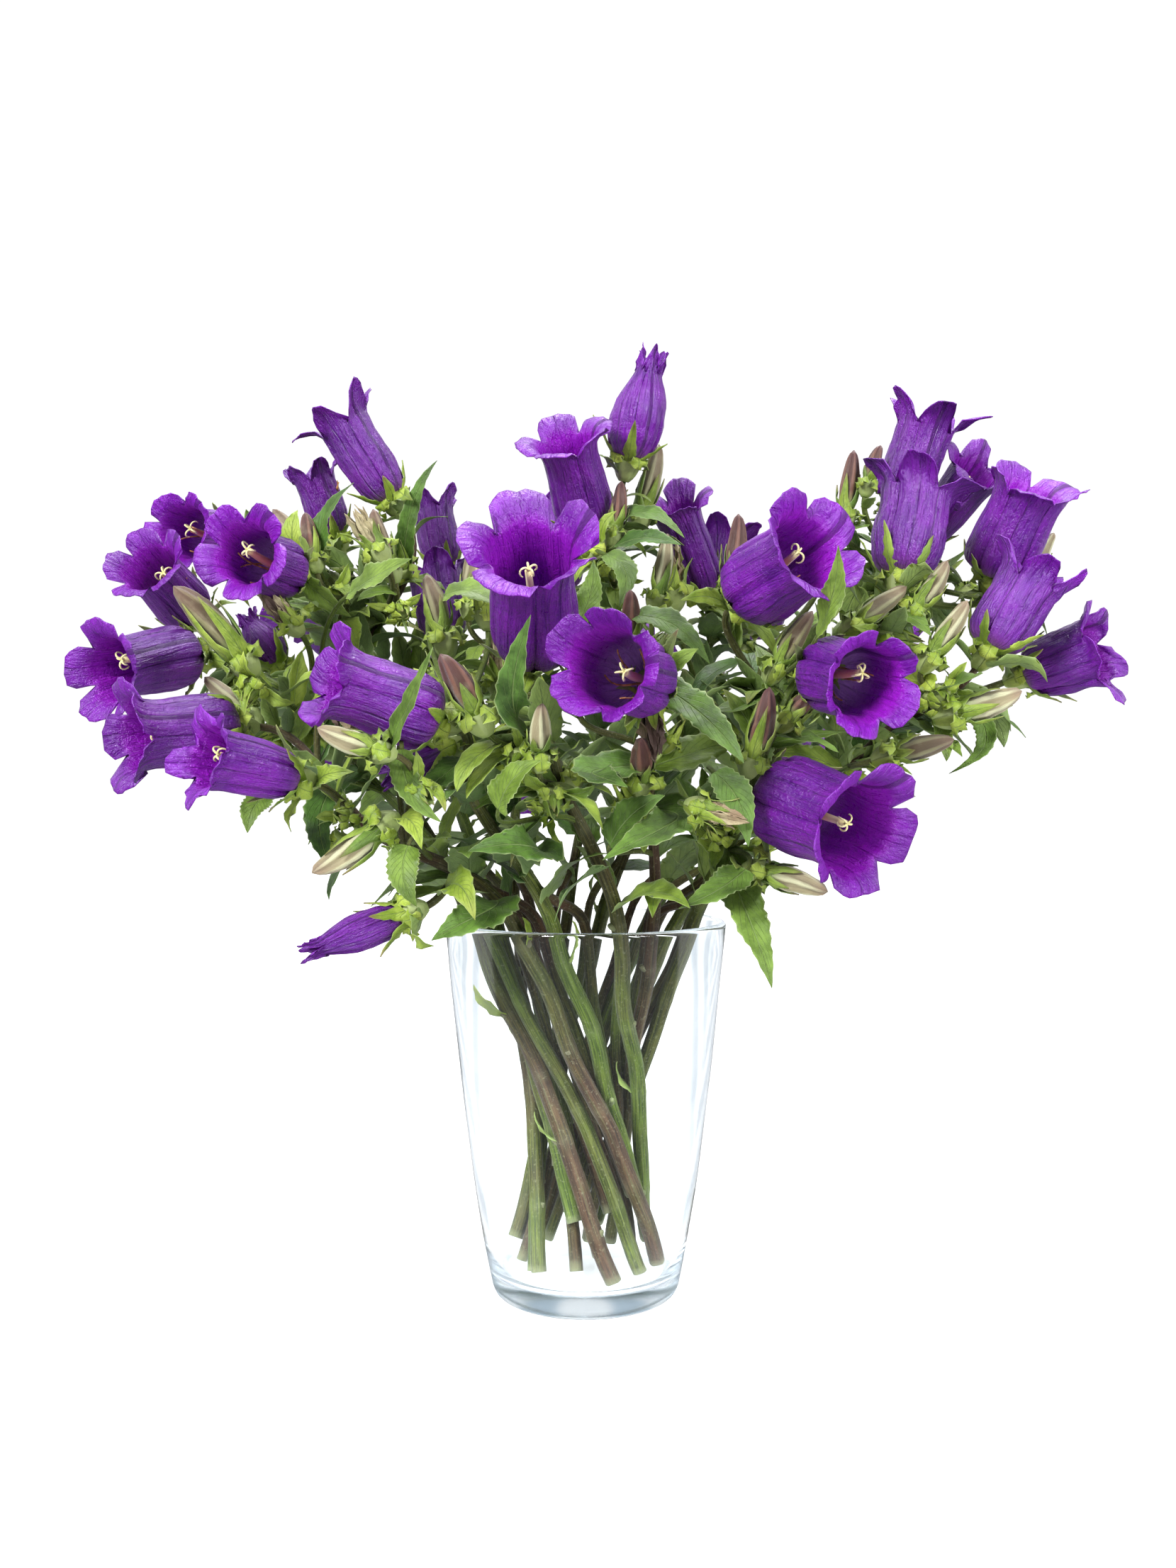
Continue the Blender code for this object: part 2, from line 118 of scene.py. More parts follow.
# buds: stem, base of the calyx, tip, widest radius, tint (0 olive and brown, 1 pale cream, 2 maroon)
BUDS = [
    (11, (24, 36, 322), (33, 35, 351), 4.8, 0.5), (7, (59, -12, 286), (62, -10, 312), 4.4, 2.0),
    (9, (110, 26, 320), (114, 28, 346), 4.4, 2.0), (8, (142, -36, 232), (165, -42, 238), 5.4, 1.0),
    (8, (116, -44, 216), (136, -52, 222), 4.6, 0.4), (6, (61, -62, 215), (68, -68, 239), 4.6, 2.0),
    (1, (-127, -56, 252), (-145, -70, 277), 6.0, 0.3), (14, (-114, 12, 300), (-130, 14, 320), 4.2, 1.6),
    (14, (-80, 2, 294), (-88, 0, 316), 4.2, 1.6), (3, (-54, -42, 262), (-58, -44, 284), 4.8, 0.4),
    (4, (-38, -84, 230), (-48, -92, 250), 5.0, 1.9), (2, (-74, -72, 188), (-94, -82, 172), 5.2, 1.0),
    (6, (66, -56, 172), (88, -66, 168), 4.8, 0.9), (12, (-48, 12, 280), (-46, 10, 303), 4.0, 1.4),
    (8, (131, -42, 254), (143, -48, 273), 4.4, 1.2), (11, (12, 36, 274), (22, 62, 288), 4.4, 0.8),
    (13, (-70, 104, 280), (-80, 122, 292), 4.4, 0.8), (9, (118, 62, 238), (140, 76, 236), 4.6, 0.8),
    (11, (12, 8, 309), (16, 8, 329), 3.8, 2.0), (7, (103, -40, 266), (121, -42, 280), 4.2, 0.5),
    (7, (126, -38, 272), (138, -42, 288), 4.2, 0.6), (14, (-110, -2, 297), (-114, -2, 315), 3.8, 2.0),
    (2, (-72, -96, 217), (-90, -104, 222), 4.4, 0.8), (5, (18, -26, 262), (17, -28, 280), 4.0, 2.0),
    (4, (-16, -84, 216), (-15, -92, 232), 4.0, 0.8), (10, (30, 14, 284), (36, 12, 308), 4.2, 1.0),
    (6, (73, -40, 250), (84, -46, 270), 4.4, 0.3), (9, (119, 22, 332), (123, 22, 348), 3.4, 2.0),
    (9, (195, 38, 299), (201, 38, 314), 3.2, 1.0), (5, (20, -64, 208), (21, -72, 222), 4.4, 2.0),
    (1, (-132, -22, 232), (-150, -16, 246), 4.2, 0.5), (6, (76, -52, 230), (85, -54, 240), 4.0, 2.0),
    (13, (-84, 70, 236), (-96, 84, 252), 4.2, 0.6), (10, (60, 92, 252), (66, 116, 262), 4.2, 0.4),
    (12, (-30, 84, 262), (-36, 104, 276), 4.2, 1.4), (9, (134, 58, 268), (152, 72, 286), 4.2, 0.6),
]

# leaves: stem, root, middle and tip of the blade, half width
LEAVES = [
    (2, (-71, -92, 208), (-60, -104, 228), (-50, -112, 250), 5),
    (4, (-31, -88, 222), (-25, -100, 242), (-18, -108, 261), 6),
    (5, (-8, -84, 209), (2, -98, 209), (14, -112, 204), 7),
    (3, (-6, -66, 181), (-22, -82, 187), (-40, -92, 182), 8),
    (5, (46, -66, 194), (25, -82, 190), (6, -92, 179), 8),
    (5, (34, -76, 236), (46, -90, 226), (54, -96, 212), 6),
    (6, (52, -60, 168), (61, -76, 155), (65, -84, 134), 7),
    (2, (-29, -64, 160), (-40, -80, 159), (-53, -88, 151), 8),
    (8, (156, -22, 230), (163, -30, 219), (139, -34, 209), 4),
    (1, (-102, -44, 204), (-101, -56, 188), (-92, -60, 174), 6),
    (14, (-77, 18, 296), (-75, 10, 324), (-61, 8, 338), 4),
    (10, (52, 92, 226), (60, 112, 222), (64, 128, 206), 7),
    (12, (-36, 96, 218), (-46, 116, 216), (-52, 132, 200), 7),
    (13, (-92, 74, 206), (-104, 86, 194), (-108, 92, 176), 7),
    (9, (96, 60, 216), (112, 74, 206), (118, 84, 188), 7),
]

# more leaves that stand out in the photo, on side shoots too thin for the CAD model: stem, root, middle, tip,
# half width
SHOOT_LEAVES = [
    (11, (15, 10, 315), (28, 2, 318), (40, -4, 304), 5), (11, (12, 4, 302), (25, -6, 306), (38, -12, 300), 5),
    (14, (-109, 2, 300), (-106, -4, 316), (-93, -6, 326), 4.5),
    (1, (-89, -40, 277), (-78, -48, 283), (-64, -54, 288), 7),
    (5, (9, -66, 183), (16, -74, 196), (28, -78, 201), 7),
    (2, (-64, -82, 217), (-62, -92, 200), (-49, -94, 192), 4.5),
    (7, (83, -70, 258), (88, -84, 272), (87, -90, 287), 4.5),
    (1, (-119, -46, 201), (-124, -54, 196), (-124, -56, 187), 5),
    (6, (46, -72, 209), (56, -80, 200), (57, -82, 183), 6),
    (5, (19, -28, 270), (36, -38, 268), (47, -42, 250), 5.5),
    (8, (117, -38, 269), (124, -46, 268), (129, -48, 260), 4.5),
    (4, (-2, -26, 268), (4, -30, 280), (3, -30, 291), 5),
    (11, (8, -6, 297), (20, -14, 290), (13, -18, 274), 5),
    (3, (-53, -42, 276), (-42, -50, 279), (-31, -53, 270), 6),
    (4, (-30, -86, 196), (-26, -94, 208), (-15, -98, 213), 6.5),
    (6, (58, -64, 174), (47, -74, 166), (33, -76, 161), 6),
    (2, (-63, -72, 183), (-66, -80, 172), (-59, -80, 162), 5.5),
    (3, (-44, -66, 214), (-52, -78, 206), (-62, -84, 198), 5),
]

# withered heads: stem, base, tip, size, tone (1 cream, 2 dark brown)
SPENT = [
    (10, (38, 40, 290), (37, 40, 310), 1.1, 1.15), (5, (-3, -66, 238), (-4, -70, 254), 0.9, 1.2),
    (5, (23, -66, 232), (25, -72, 214), 0.95, 1.8), (4, (-34, -30, 246), (-37, -32, 264), 0.9, 1.3),
    (2, (-92, -52, 236), (-84, -60, 220), 0.9, 1.5), (3, (-38, -34, 272), (-40, -36, 290), 0.9, 1.2),
    (6, (42, -78, 196), (56, -84, 192), 0.8, 1.1), (7, (96, -6, 296), (98, -6, 312), 0.9, 1.7),
    (1, (-114, -30, 268), (-124, -36, 280), 0.8, 1.5), (14, (-84, -6, 300), (-92, -8, 314), 0.9, 1.3),
]

# the random draws of each kind of growth start at these numbers
FOLIAGE_SEED, LEAF_SEED, BARK_SEED, SHOOT_LEAF_SEED = 70, 300, 400, 500
SPENT_SEED, SIDE_STEM_SEED, STEM_SEED = 600, 700, 900

# ---------------------------------------------------------------- small tools


def mm(point):
    return np.array(point, float) * MM


def unit(v):
    return v / np.maximum(np.linalg.norm(v, axis=-1, keepdims=True), 1e-12)


def bezier(a, b, c, d, count):
    t = np.linspace(0, 1, count)[:, None]
    s = 1 - t
    return a * s**3 + b * 3 * s * s * t + c * 3 * s * t * t + d * t**3


def smooth(x, xs, ys):
    """A smooth curve through the points, read at x."""
    fine = np.linspace(xs[0], xs[-1], 241)
    line = np.interp(fine, xs, ys)
    kernel = np.hanning(19)
    kernel /= kernel.sum()
    padded = np.concatenate([2 * line[0] - line[9:0:-1], line, 2 * line[-1] - line[-2:-11:-1]])
    return np.interp(x, fine, np.convolve(padded, kernel, "valid"))


def stacked(*parts):
    """The parts, spread to one shape, as the columns of a last axis."""
    return np.stack(np.broadcast_arrays(*parts), -1)


def spoke(angle):
    """A level unit vector."""
    return np.array((math.cos(angle), math.sin(angle), 0.0))


def travel(path):
    """The way travelled along a path at each of its points."""
    return np.concatenate([[0], np.cumsum(np.linalg.norm(np.diff(path, axis=0), axis=1))])


def ended(rows):
    """The rows with the first and the last of them doubled."""
    return np.concatenate([rows[:1], rows, rows[-1:]])


def ripple(points, size, seed):
    """Low soft noise, between -1 and 1, from a few sine waves in space."""
    dice = np.random.default_rng(seed)
    out = np.zeros(points.shape[:-1])
    for _ in range(4):
        way = unit(dice.normal(size=3)) / size * dice.uniform(0.7, 1.4)
        out = out + np.sin(points @ way * TAU + dice.uniform(0, TAU))
    return out / 4


def frames_along(path, up=None):
    """Unit tangent, side and normal at each point of a path, without twist unless up is given."""
    tangent = unit(np.gradient(path, axis=0))
    if up is not None:
        side = unit(np.cross(tangent, up))
        return tangent, side, np.cross(side, tangent)
    side = np.empty_like(path)
    side[0] = unit(np.cross(tangent[0], UP if abs(tangent[0][2]) < 0.9 else SIDEWAYS))
    for i in range(1, len(path)):
        side[i] = unit(side[i - 1] - tangent[i] * side[i - 1].dot(tangent[i]))
    return tangent, side, np.cross(tangent, side)


def turned_to(direction, roll):
    """Rows of a rotation that takes +Z to the direction."""
    z = unit(np.array(direction, float))
    x = unit(np.cross(z, UP if abs(z[2]) < 0.95 else SIDEWAYS))
    y = np.cross(z, x)
    c, s = math.cos(roll), math.sin(roll)
    return np.array((x * c + y * s, y * c - x * s, z))


def outward(side, normal, turn):
    """The direction away from a path at a turn round it."""
    return side * math.cos(turn) + normal * math.sin(turn)


class Piece:
    """One piece of the visual model, gathered from grids of points with two vector attributes."""

    def __init__(self, name):
        self.name = name
        self.count = 0
        self.points, self.faces, self.grow, self.look = [], [], [], []

    def grid(self, points, grow, look):
        """Adds a grid whose rows are rings."""
        rows, cols = points.shape[:2]
        ids = np.arange(rows * cols).reshape(rows, cols) + self.count
        a, b = ids[:-1], ids[1:]
        quads = stacked(a, np.roll(a, -1, 1), np.roll(b, -1, 1), b).reshape(-1, 4)
        corner = (points - points.mean((0, 1))).reshape(-1, 3)[quads - self.count]
        first, second, third, fourth = corner.transpose(1, 0, 2)
        volume = (first * (np.cross(second, third) + np.cross(third, fourth))).sum()
        self.faces.append(quads[:, ::-1] if volume < 0 else quads)
        self.points.append(points.reshape(-1, 3))
        self.grow.append(np.broadcast_to(grow, points.shape).reshape(-1, 3))
        self.look.append(np.broadcast_to(look, points.shape).reshape(-1, 3))
        self.count += rows * cols

    def finish(self, mat, slot, replaces=()):
        points, quads = np.concatenate(self.points), np.concatenate(self.faces)
        mesh = bpy.data.meshes.new(self.name)
        mesh.vertices.add(len(points))
        mesh.vertices.foreach_set("co", points.astype(np.float32).ravel())
        mesh.loops.add(quads.size)
        mesh.loops.foreach_set("vertex_index", quads.astype(np.int32).ravel())
        mesh.polygons.add(len(quads))
        mesh.polygons.foreach_set("loop_start", np.arange(0, quads.size, 4, dtype=np.int32))
        mesh.update(calc_edges=True)
        for key, data in (("grow", self.grow), ("look", self.look)):
            attr = mesh.attributes.new(key, "FLOAT_VECTOR", "POINT")
            attr.data.foreach_set("vector", np.concatenate(data).astype(np.float32).ravel())
        mesh.shade_smooth()
        mesh.materials.append(mat)
        obj = bpy.data.objects.new(self.name, mesh)
        bpy.context.scene.collection.objects.link(obj)
        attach(obj, "root")
        if replaces:
            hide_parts(*replaces)


def surface_normal(points, around):
    across = np.roll(points, -1, 1) - np.roll(points, 1, 1) if around else np.gradient(points, axis=1)
    return unit(np.cross(across, np.gradient(points, axis=0)))


def sweep(piece, path, radii, sides, look, ribs=0, rib=0.0, turn=0.0):
    """A rod along a path with lengthwise ribs and closed ends. grow holds angle, millimetres along, and rib
    height."""
    _, side, normal = (ended(v) for v in frames_along(path))
    path = ended(path)
    path[0] += (path[1] - path[2]) * 0.001
    path[-1] += (path[-2] - path[-3]) * 0.001
    radii = ended(radii)
    radii[[0, -1]] *= 0.02
    along = travel(path)[:, None]
    angle = np.arange(sides) / sides * TAU
    height = np.cos(ribs * angle + turn * along) if ribs else np.zeros((len(path), sides))
    r = radii[:, None] * (1 + rib * height)
    points = path[:, None] + r[..., None] * (np.cos(angle)[None, :, None] * side[:, None]
                                             + np.sin(angle)[None, :, None] * normal[:, None])
    if np.ndim(look) == 2:
        look = ended(look)[:, None]
    piece.grid(points, stacked(angle, along / MM, height), look)


def leaf(piece, path, half_width, up, look, outline, fold, wave, crest, seed, teeth=0.0, thick=0.3 * MM,
         cols=9, cup=0.0, twist=0.0):
    """A blade along a path: outline gives its half width, fold lifts its margins, waves of one crest length
    (mm) and teeth work its edges. grow holds the place across (-1 to 1), the share along, and the side (0
    upper, 1 lower)."""
    dice = np.random.default_rng(seed)
    rows = len(path)
    share = np.linspace(0, 1, rows)
    _, side, normal = frames_along(path, up)
    turn = (twist * (share - 0.15))[:, None]
    side, normal = side * np.cos(turn) + normal * np.sin(turn), normal * np.cos(turn) - side * np.sin(turn)
    half = half_width * outline(share)
    u = np.sign(np.linspace(-1, 1, cols)) * np.abs(np.linspace(-1, 1, cols)) ** 0.8
    edge = np.abs(u)[None, :]
    saw = 1 + teeth * edge**6 * np.where(np.arange(rows) % 2, 0.5, -0.5)[:, None]
    phase = dice.uniform(0, TAU, 2)
    waves = share[:, None] * travel(path)[-1] / (crest * MM) * TAU
    sway = np.where(u > 0, np.sin(waves + phase[0]), np.sin(waves * 1.13 + phase[1]))
    lift = half[:, None] * (fold * edge + wave * edge**2 * sway - cup * edge**2)
    flat = (u[None, :] * saw * half[:, None])[..., None] * side[:, None]
    points = path[:, None] + flat + lift[..., None] * normal[:, None]
    face = surface_normal(points, False)
    if (face[rows // 2, cols // 2] * normal[rows // 2]).sum() < 0:
        face = -face
    rise = face * (thick / 2 * np.maximum(1 - edge**4, 0.12))[..., None]
    loop = np.concatenate([points + rise, (points - rise)[:, ::-1]], 1)
    across = np.concatenate([u, u[::-1]])
    lower = np.repeat((0.0, 1.0), cols)
    closed(piece, loop, stacked(across, share[:, None], lower), look)


def closed(piece, points, grow, look):
    """Adds a tube-like grid with its two ends drawn shut."""
    points = ended(points)
    points[0], points[-1] = points[0].mean(0), points[-1].mean(0)
    piece.grid(points, ended(grow), look)


def lance(share):
    """A narrow bract."""
    return np.sin(np.pi * share**0.85) ** (0.65 + 0.35 * share) + 0.22 * (1 - share) ** 3 + 0.015


def ovate(share):
    """A stem leaf with a clasping base, even sides and a blunt tip."""
    return np.sin(np.pi * share**0.78) ** (0.55 + 0.40 * share) + 0.30 * (1 - share) ** 3 + 0.012


def spear(share):
    """A sepal, widest at its base."""
    return (1 - share**1.7) * (0.86 + 0.14 * np.cos(share * 6)) + 0.02


def flap(share):
    """A heart-shaped flap, widest past its middle."""
    return np.sqrt(np.clip(1 - (2 * share - 1.0) ** 2 / 1.15, 0, 1)) * (0.75 + 0.4 * share) + 0.02


# ---------------------------------------------------------------- corollas

SHAPE = {
    # kind: tube as a share of the bell, lobe length and its outline's two powers, lobe angle at mouth and tip
    #       (degrees), how far a lobe narrows as it flares, wrinkles, radius (mm), profile shares and radii
    "open": (1.0, 0.265, 2.7, 0.52, 8, 74, 0.14, 0.016, 14.4,
             (0, 0.02, 0.06, 0.13, 0.27, 0.50, 0.72, 0.88, 1.0),
             (0.30, 0.56, 0.82, 0.98, 1.05, 1.01, 0.96, 0.96, 1.02)),
    "half": (0.90, 0.32, 1.6, 0.80, -2, 70, 0.7, 0.060, 11.4,
             (0, 0.03, 0.09, 0.2, 0.4, 0.62, 0.82, 1.0), (0.38, 0.60, 0.80, 0.94, 1.03, 1.03, 0.99, 1.02)),
    "star": (0.97, 0.32, 1.7, 0.80, 12, 88, 0.7, 0.060, 11.2,
             (0, 0.03, 0.09, 0.2, 0.4, 0.62, 0.82, 1.0), (0.38, 0.58, 0.74, 0.86, 0.94, 0.98, 1.0, 1.08)),
    "shut": (0.95, 0.26, 1.5, 0.85, -20, 34, 1.1, 0.085, 10.8,
             (0, 0.04, 0.12, 0.25, 0.45, 0.66, 0.85, 1.0), (0.44, 0.66, 0.86, 1.0, 1.04, 0.96, 0.72, 0.50)),
}

LOBE_COLS, TUBE_ROWS, LOBE_ROWS = 10, 17, 12


def corolla(kind, length, width, seed, own):
    """A five-lobed bell along +Z from its base at the origin. Returns its points, the two attributes and a
    reader of its profile."""
    dice = np.random.default_rng(seed)
    tube_share, lobe_share, power, root, a0, a1, narrow, wrinkle, radius, shares, radii = SHAPE[kind]
    radius *= width * own["width"] * MM
    lobe_length = lobe_share * own["lobe"] * length
    length *= tube_share * own["tube"]
    cols = 5 * LOBE_COLS
    theta = np.arange(cols) / cols * TAU
    lobe = np.floor(theta / TAU * 5 + 0.5)
    phi = (theta / TAU * 5 - lobe) * 2
    lobe = lobe.astype(int) % 5
    z = np.linspace(0, 1, TUBE_ROWS) ** 1.15
    r = smooth(z, shares, np.array(radii) * radius)
    r[0] = radii[0] * radius
    heights = [np.full(cols, v * length) for v in z]
    outs = [np.full(cols, v) for v in r]
    stretch = dice.uniform(0.9, 1.12, 5)[lobe]
    curl = (a1 * own["curl"] + dice.uniform(-24, 26, 5))[lobe]
    start = (a0 + dice.uniform(-8, 8, 5))[lobe]
    full = lobe_length * stretch
    outline = np.clip(1 - np.abs(phi) ** power, 0, 1) ** root + 0.05 * np.exp(-(phi / 0.16) ** 2) + 0.035
    step = full * outline / LOBE_ROWS
    for row in range(1, LOBE_ROWS + 1):
        bent = np.clip(row * step / full, 0, 1.1) ** 0.9
        bend = np.radians(start + (curl - start) * bent + 34 * np.abs(phi) ** 3)
        heights.append(heights[-1] + step * np.cos(bend))
        outs.append(outs[-1] + step * np.sin(bend))
    zs, rs = np.array(heights), np.array(outs)
    in_lobe = np.clip((np.arange(len(zs)) - TUBE_ROWS + 1) / LOBE_ROWS, 0, 1)[:, None]
    along = np.where(in_lobe > 0, 0.66 + 0.34 * in_lobe, 0.66 * np.append(z, in_lobe[TUBE_ROWS:])[:, None])
    # ribs on the midribs, grooves between the lobes, pillows in between
    edge = np.abs(phi)[None, :]
    tube = np.clip(along / 0.05, 0, 1) * (1 - in_lobe)
    groove = np.exp(-((1 - edge) / 0.13) ** 2) * (0.085 * np.exp(-(along / 0.30) ** 2) + 0.048)
    midrib = np.exp(-(edge / 0.09) ** 2) * (0.026 + 0.022 * in_lobe)
    pillow = 0.026 * np.sin(np.pi * edge) ** 2
    rs = rs * (1 + tube * (pillow - groove) + midrib * np.clip(along / 0.1, 0, 1) * (1 - 1.9 * in_lobe))
    squeeze = np.minimum((rs[TUBE_ROWS - 1] / np.maximum(rs, 1e-6)) ** narrow, 1.0)
    squeeze = np.where(in_lobe > 0, squeeze, 1.0)
    twist = dice.uniform(-0.25, 0.25) * (2.6 if kind == "shut" else 1.0) * along**2
    shift = dice.uniform(-0.10, 0.10, 5)[lobe][None, :] * in_lobe
    angle = lobe[None, :] * TAU / 5 + phi[None, :] * squeeze * TAU / 10 + twist + shift
    # folds of an ageing bell, and wavy lobe margins
    folds = dice.integers(9, 14)
    rs = rs * (1 + wrinkle * np.sin(folds * angle + 3 * np.sin(along * 7 + dice.uniform(0, 6))) * along)
    frill = np.sin(angle * dice.integers(17, 23) + dice.uniform(0, TAU)) * in_lobe * (0.25 + edge**2)
    zs = zs + frill * 1.0 * MM
    rs = rs + np.cos(angle * 19 + dice.uniform(0, TAU)) * in_lobe * edge**2 * 0.8 * MM
    points = stacked(rs * np.cos(angle), rs * np.sin(angle), zs)
    # soft dents, a slightly bent and flattened tube
    soft = 0.55 if kind == "open" else 1.0
    for size, height, offset in ((17, 0.040, 1), (6, 0.014, 2)):
        dent = ripple(points, size * MM, seed + offset) * height * soft
        points = points * (1 + dent[..., None] * np.array((1, 1, 0.3)))
    lean = (points[..., 2] / length) ** 2 * length
    points += lean[..., None] * 0.05 * spoke(dice.uniform(0, TAU))
    oval = dice.uniform(-0.05, 0.05) * (2.0 if kind != "open" else 1.0)
    points *= 1 + oval * np.clip(along, 0, 0.7)[..., None] * np.array((1, -1, 0))
    grow = stacked(theta, along, 0.0)
    look = stacked(phi, in_lobe, (seed % 17) / 17)
    return points, grow, look, lambda q: smooth(np.clip(q, 0, 1), shares, np.array(radii) * radius)


def add_corolla(piece, local, grow, look, basis, origin):
    """The bell's wall: its outer surface, an inner one, and the seam between them round the base
    opening."""
    thick = 0.35 * MM
    middle = TUBE_ROWS // 2
    inner = local - surface_normal(local, True) * thick
    in_size, out_size = (np.linalg.norm(wall[middle, :, :2], axis=1).mean() for wall in (inner, local))
    if in_size > out_size:
        inner = 2 * local - inner
    inside = grow + np.array((0, 0, 1))
    # outer rows from the base to the lobe tips, inner rows back to the base, and the first row again
    wall, grow, look = (np.concatenate([outer, inner[::-1], outer[:1]])
                        for outer, inner in ((local, inner), (grow, inside), (look, look)))
    piece.grid(wall @ basis + origin, grow, look)


# ---------------------------------------------------------------- calyx, style, stamens


def calyx(piece, basis, origin, profile, length, seed, tint, sepal=15.0, hug=1.0, size=1.0, half=3.9,
          fine=1):
    """Ovary, five sepals that hold the bell between its lobes, and five reflexed crinkled flaps below them.
    fine is 1 for a full flower and 0 for the simpler small heads."""
    dice = np.random.default_rng(seed)
    unit_size = size * MM
    share = np.linspace(0, 1, 6)
    path = stacked(0.0, 0.0, (-9.5 + share * 9.3) * unit_size)
    radii = (2.0 + 3.2 * np.sin(share * 1.9) ** 0.8) * unit_size
    sweep(piece, path @ basis + origin, radii, 15, (tint, 0.1, 0.2), ribs=5, rib=0.12)
    for k in range(5):
        mid = (k + 0.5) * TAU / 5 + dice.uniform(-0.14, 0.14)
        out = spoke(mid)
        reach = sepal * unit_size * dice.uniform(0.75, 1.15)
        s = np.linspace(0, 1, 9 if fine else 6)
        z = -2.2 * unit_size + s * reach * 0.98
        r = np.where(z > 0, profile(z / length), 4.6 * unit_size) + 0.7 * unit_size
        r = r + hug * s**2.4 * reach * dice.uniform(0.0, 0.5)
        r[0] = 4.4 * unit_size
        path = out * r[:, None] + UP * z[:, None]
        leaf(piece, path @ basis + origin, dice.uniform(0.85, 1.1) * half * unit_size, out @ basis,
             (tint + dice.uniform(-0.3, 0.2), 0.5, dice.uniform(0.0, 0.9)), spear, fold=-0.22, wave=0.28,
             crest=7 * size, teeth=0.10, thick=0.5 * MM, seed=seed * 7 + k, cols=6 if fine else 5, cup=0.15)
        out = spoke(mid + TAU / 10 + dice.uniform(-0.15, 0.15))
        drop = dice.uniform(5.5, 8.5) * unit_size
        s = np.linspace(0, 1, 8 if fine else 6)
        bulge = dice.uniform(1.6, 3.6) * unit_size
        spread = 4.9 * unit_size + np.sin(s * 2.3) * bulge + s**2 * dice.uniform(-0.6, 2.2) * unit_size
        rise = (1.8 + np.sin(s * 2.2)) * unit_size - s * drop
        path = np.outer(spread, out) + np.outer(rise, UP)
        leaf(piece, path @ basis + origin, dice.uniform(2.8, 4.2) * unit_size, out @ basis,
             (tint + 0.1 + dice.uniform(0, 0.25), 0.6, dice.uniform(0, 0.3)), flap, fold=-0.10, wave=0.62,
             crest=dice.uniform(3.4, 5.0) * size, teeth=0.16, thick=0.45 * unit_size, seed=seed * 11 + k,
             cols=6 if fine else 5, cup=0.10, twist=dice.uniform(-0.9, 0.9))


def style(piece, basis, origin, length, seed):
    """A cream style with curled stigma lobes, brown-orange lower down, and five withered stamens."""
    dice = np.random.default_rng(seed)
    s = np.linspace(0, 1, 14)
    lean = dice.uniform(-0.08, 0.08, 2)
    path = stacked(lean[0] * s**2 * length, lean[1] * s**2 * length, -1 * MM + s * length)
    radii = (1.0 + 0.55 * np.clip((s - 0.1) / 0.3, 0, 1) * (1 - 0.55 * np.clip((s - 0.6) / 0.3, 0, 1))) * MM
    sweep(piece, path @ basis + origin, radii, 10, (0, 0, 0), ribs=5, rib=0.10)
    tip = path[-1]
    arms = int(dice.integers(4, 6))
    for k in range(arms):
        way = k * TAU / arms + dice.uniform(-0.3, 0.3)
        a = np.linspace(0, dice.uniform(3.0, 4.8), 9)
        curl = dice.uniform(1.2, 1.9) * MM
        out = curl * (1 - np.cos(a)) * 0.95 + 0.3 * MM
        swing = a * 0.22 * curl * dice.uniform(-1, 1)
        rise = curl * np.sin(a) * 1.15
        path = tip + np.outer(out, spoke(way)) + np.outer(swing, spoke(way + TAU / 4)) + np.outer(rise, UP)
        sweep(piece, path @ basis + origin, np.linspace(0.48, 0.30, 9) * MM, 5, (0, 1, 0))
    for k in range(5):
        way = k * TAU / 5 + dice.uniform(-0.3, 0.3)
        a = np.linspace(0, 1, 9)
        spread = (1.6 + 7.6 * a + np.sin(a * 7 + k) * 0.9) * MM
        swirl = way + a * dice.uniform(-1.2, 1.2)
        path = stacked(np.cos(swirl) * spread, np.sin(swirl) * spread, (1.5 + a * dice.uniform(12, 22)) * MM)
        sweep(piece, path @ basis + origin, np.linspace(0.55, 0.28, 9) * MM, 5, (1, 0, 0))


def bud(piece, green, root, tip, radius, tint, seed):
    """A blunt, hooked bud with five pleats, its lower half wrapped by flame-shaped sepals."""
    dice = np.random.default_rng(seed)
    axis = tip - root
    length = np.linalg.norm(axis)
    basis = turned_to(axis, dice.uniform(0, TAU))
    s = np.linspace(0, 1, 16)
    angle = np.arange(40) / 40 * TAU
    body = smooth(s, (0, 0.06, 0.2, 0.4, 0.65, 0.85, 0.95, 1), (0.02, 0.62, 0.92, 1, 0.84, 0.58, 0.36, 0.04))
    turn = dice.uniform(-0.9, 0.9)
    pleat = np.cos(5 * (angle[None, :] + turn * s[:, None] ** 2))
    sharp = np.sign(pleat) * np.abs(pleat) ** 0.6
    fluted = 0.03 * np.cos(15 * angle[None, :] + 3 * s[:, None]) * s[:, None]
    r = 0.9 * radius * body[:, None] * (1 + (0.05 + 0.14 * s[:, None]) * sharp + fluted)
    points = stacked(r * np.cos(angle), r * np.sin(angle), s[:, None] * length)
    points += np.outer(s**3 * length * 0.09, spoke(dice.uniform(0, TAU)))[:, None]
    points = points * (1 + 0.05 * ripple(points, 5 * MM, seed + 2))[..., None] ** np.array((1, 1, 0))
    closed(piece, points @ basis + root, stacked(angle, s[:, None], sharp), (tint, dice.uniform(0, 1), 0))
    calyx(green, basis, root, lambda q: np.interp(q, s, body * radius), length, seed + 5,
          sepal=length / MM * dice.uniform(0.62, 0.85), hug=0.05, tint=0.45,
          size=np.clip(radius / (5.0 * MM), 0.7, 1.05), fine=0)


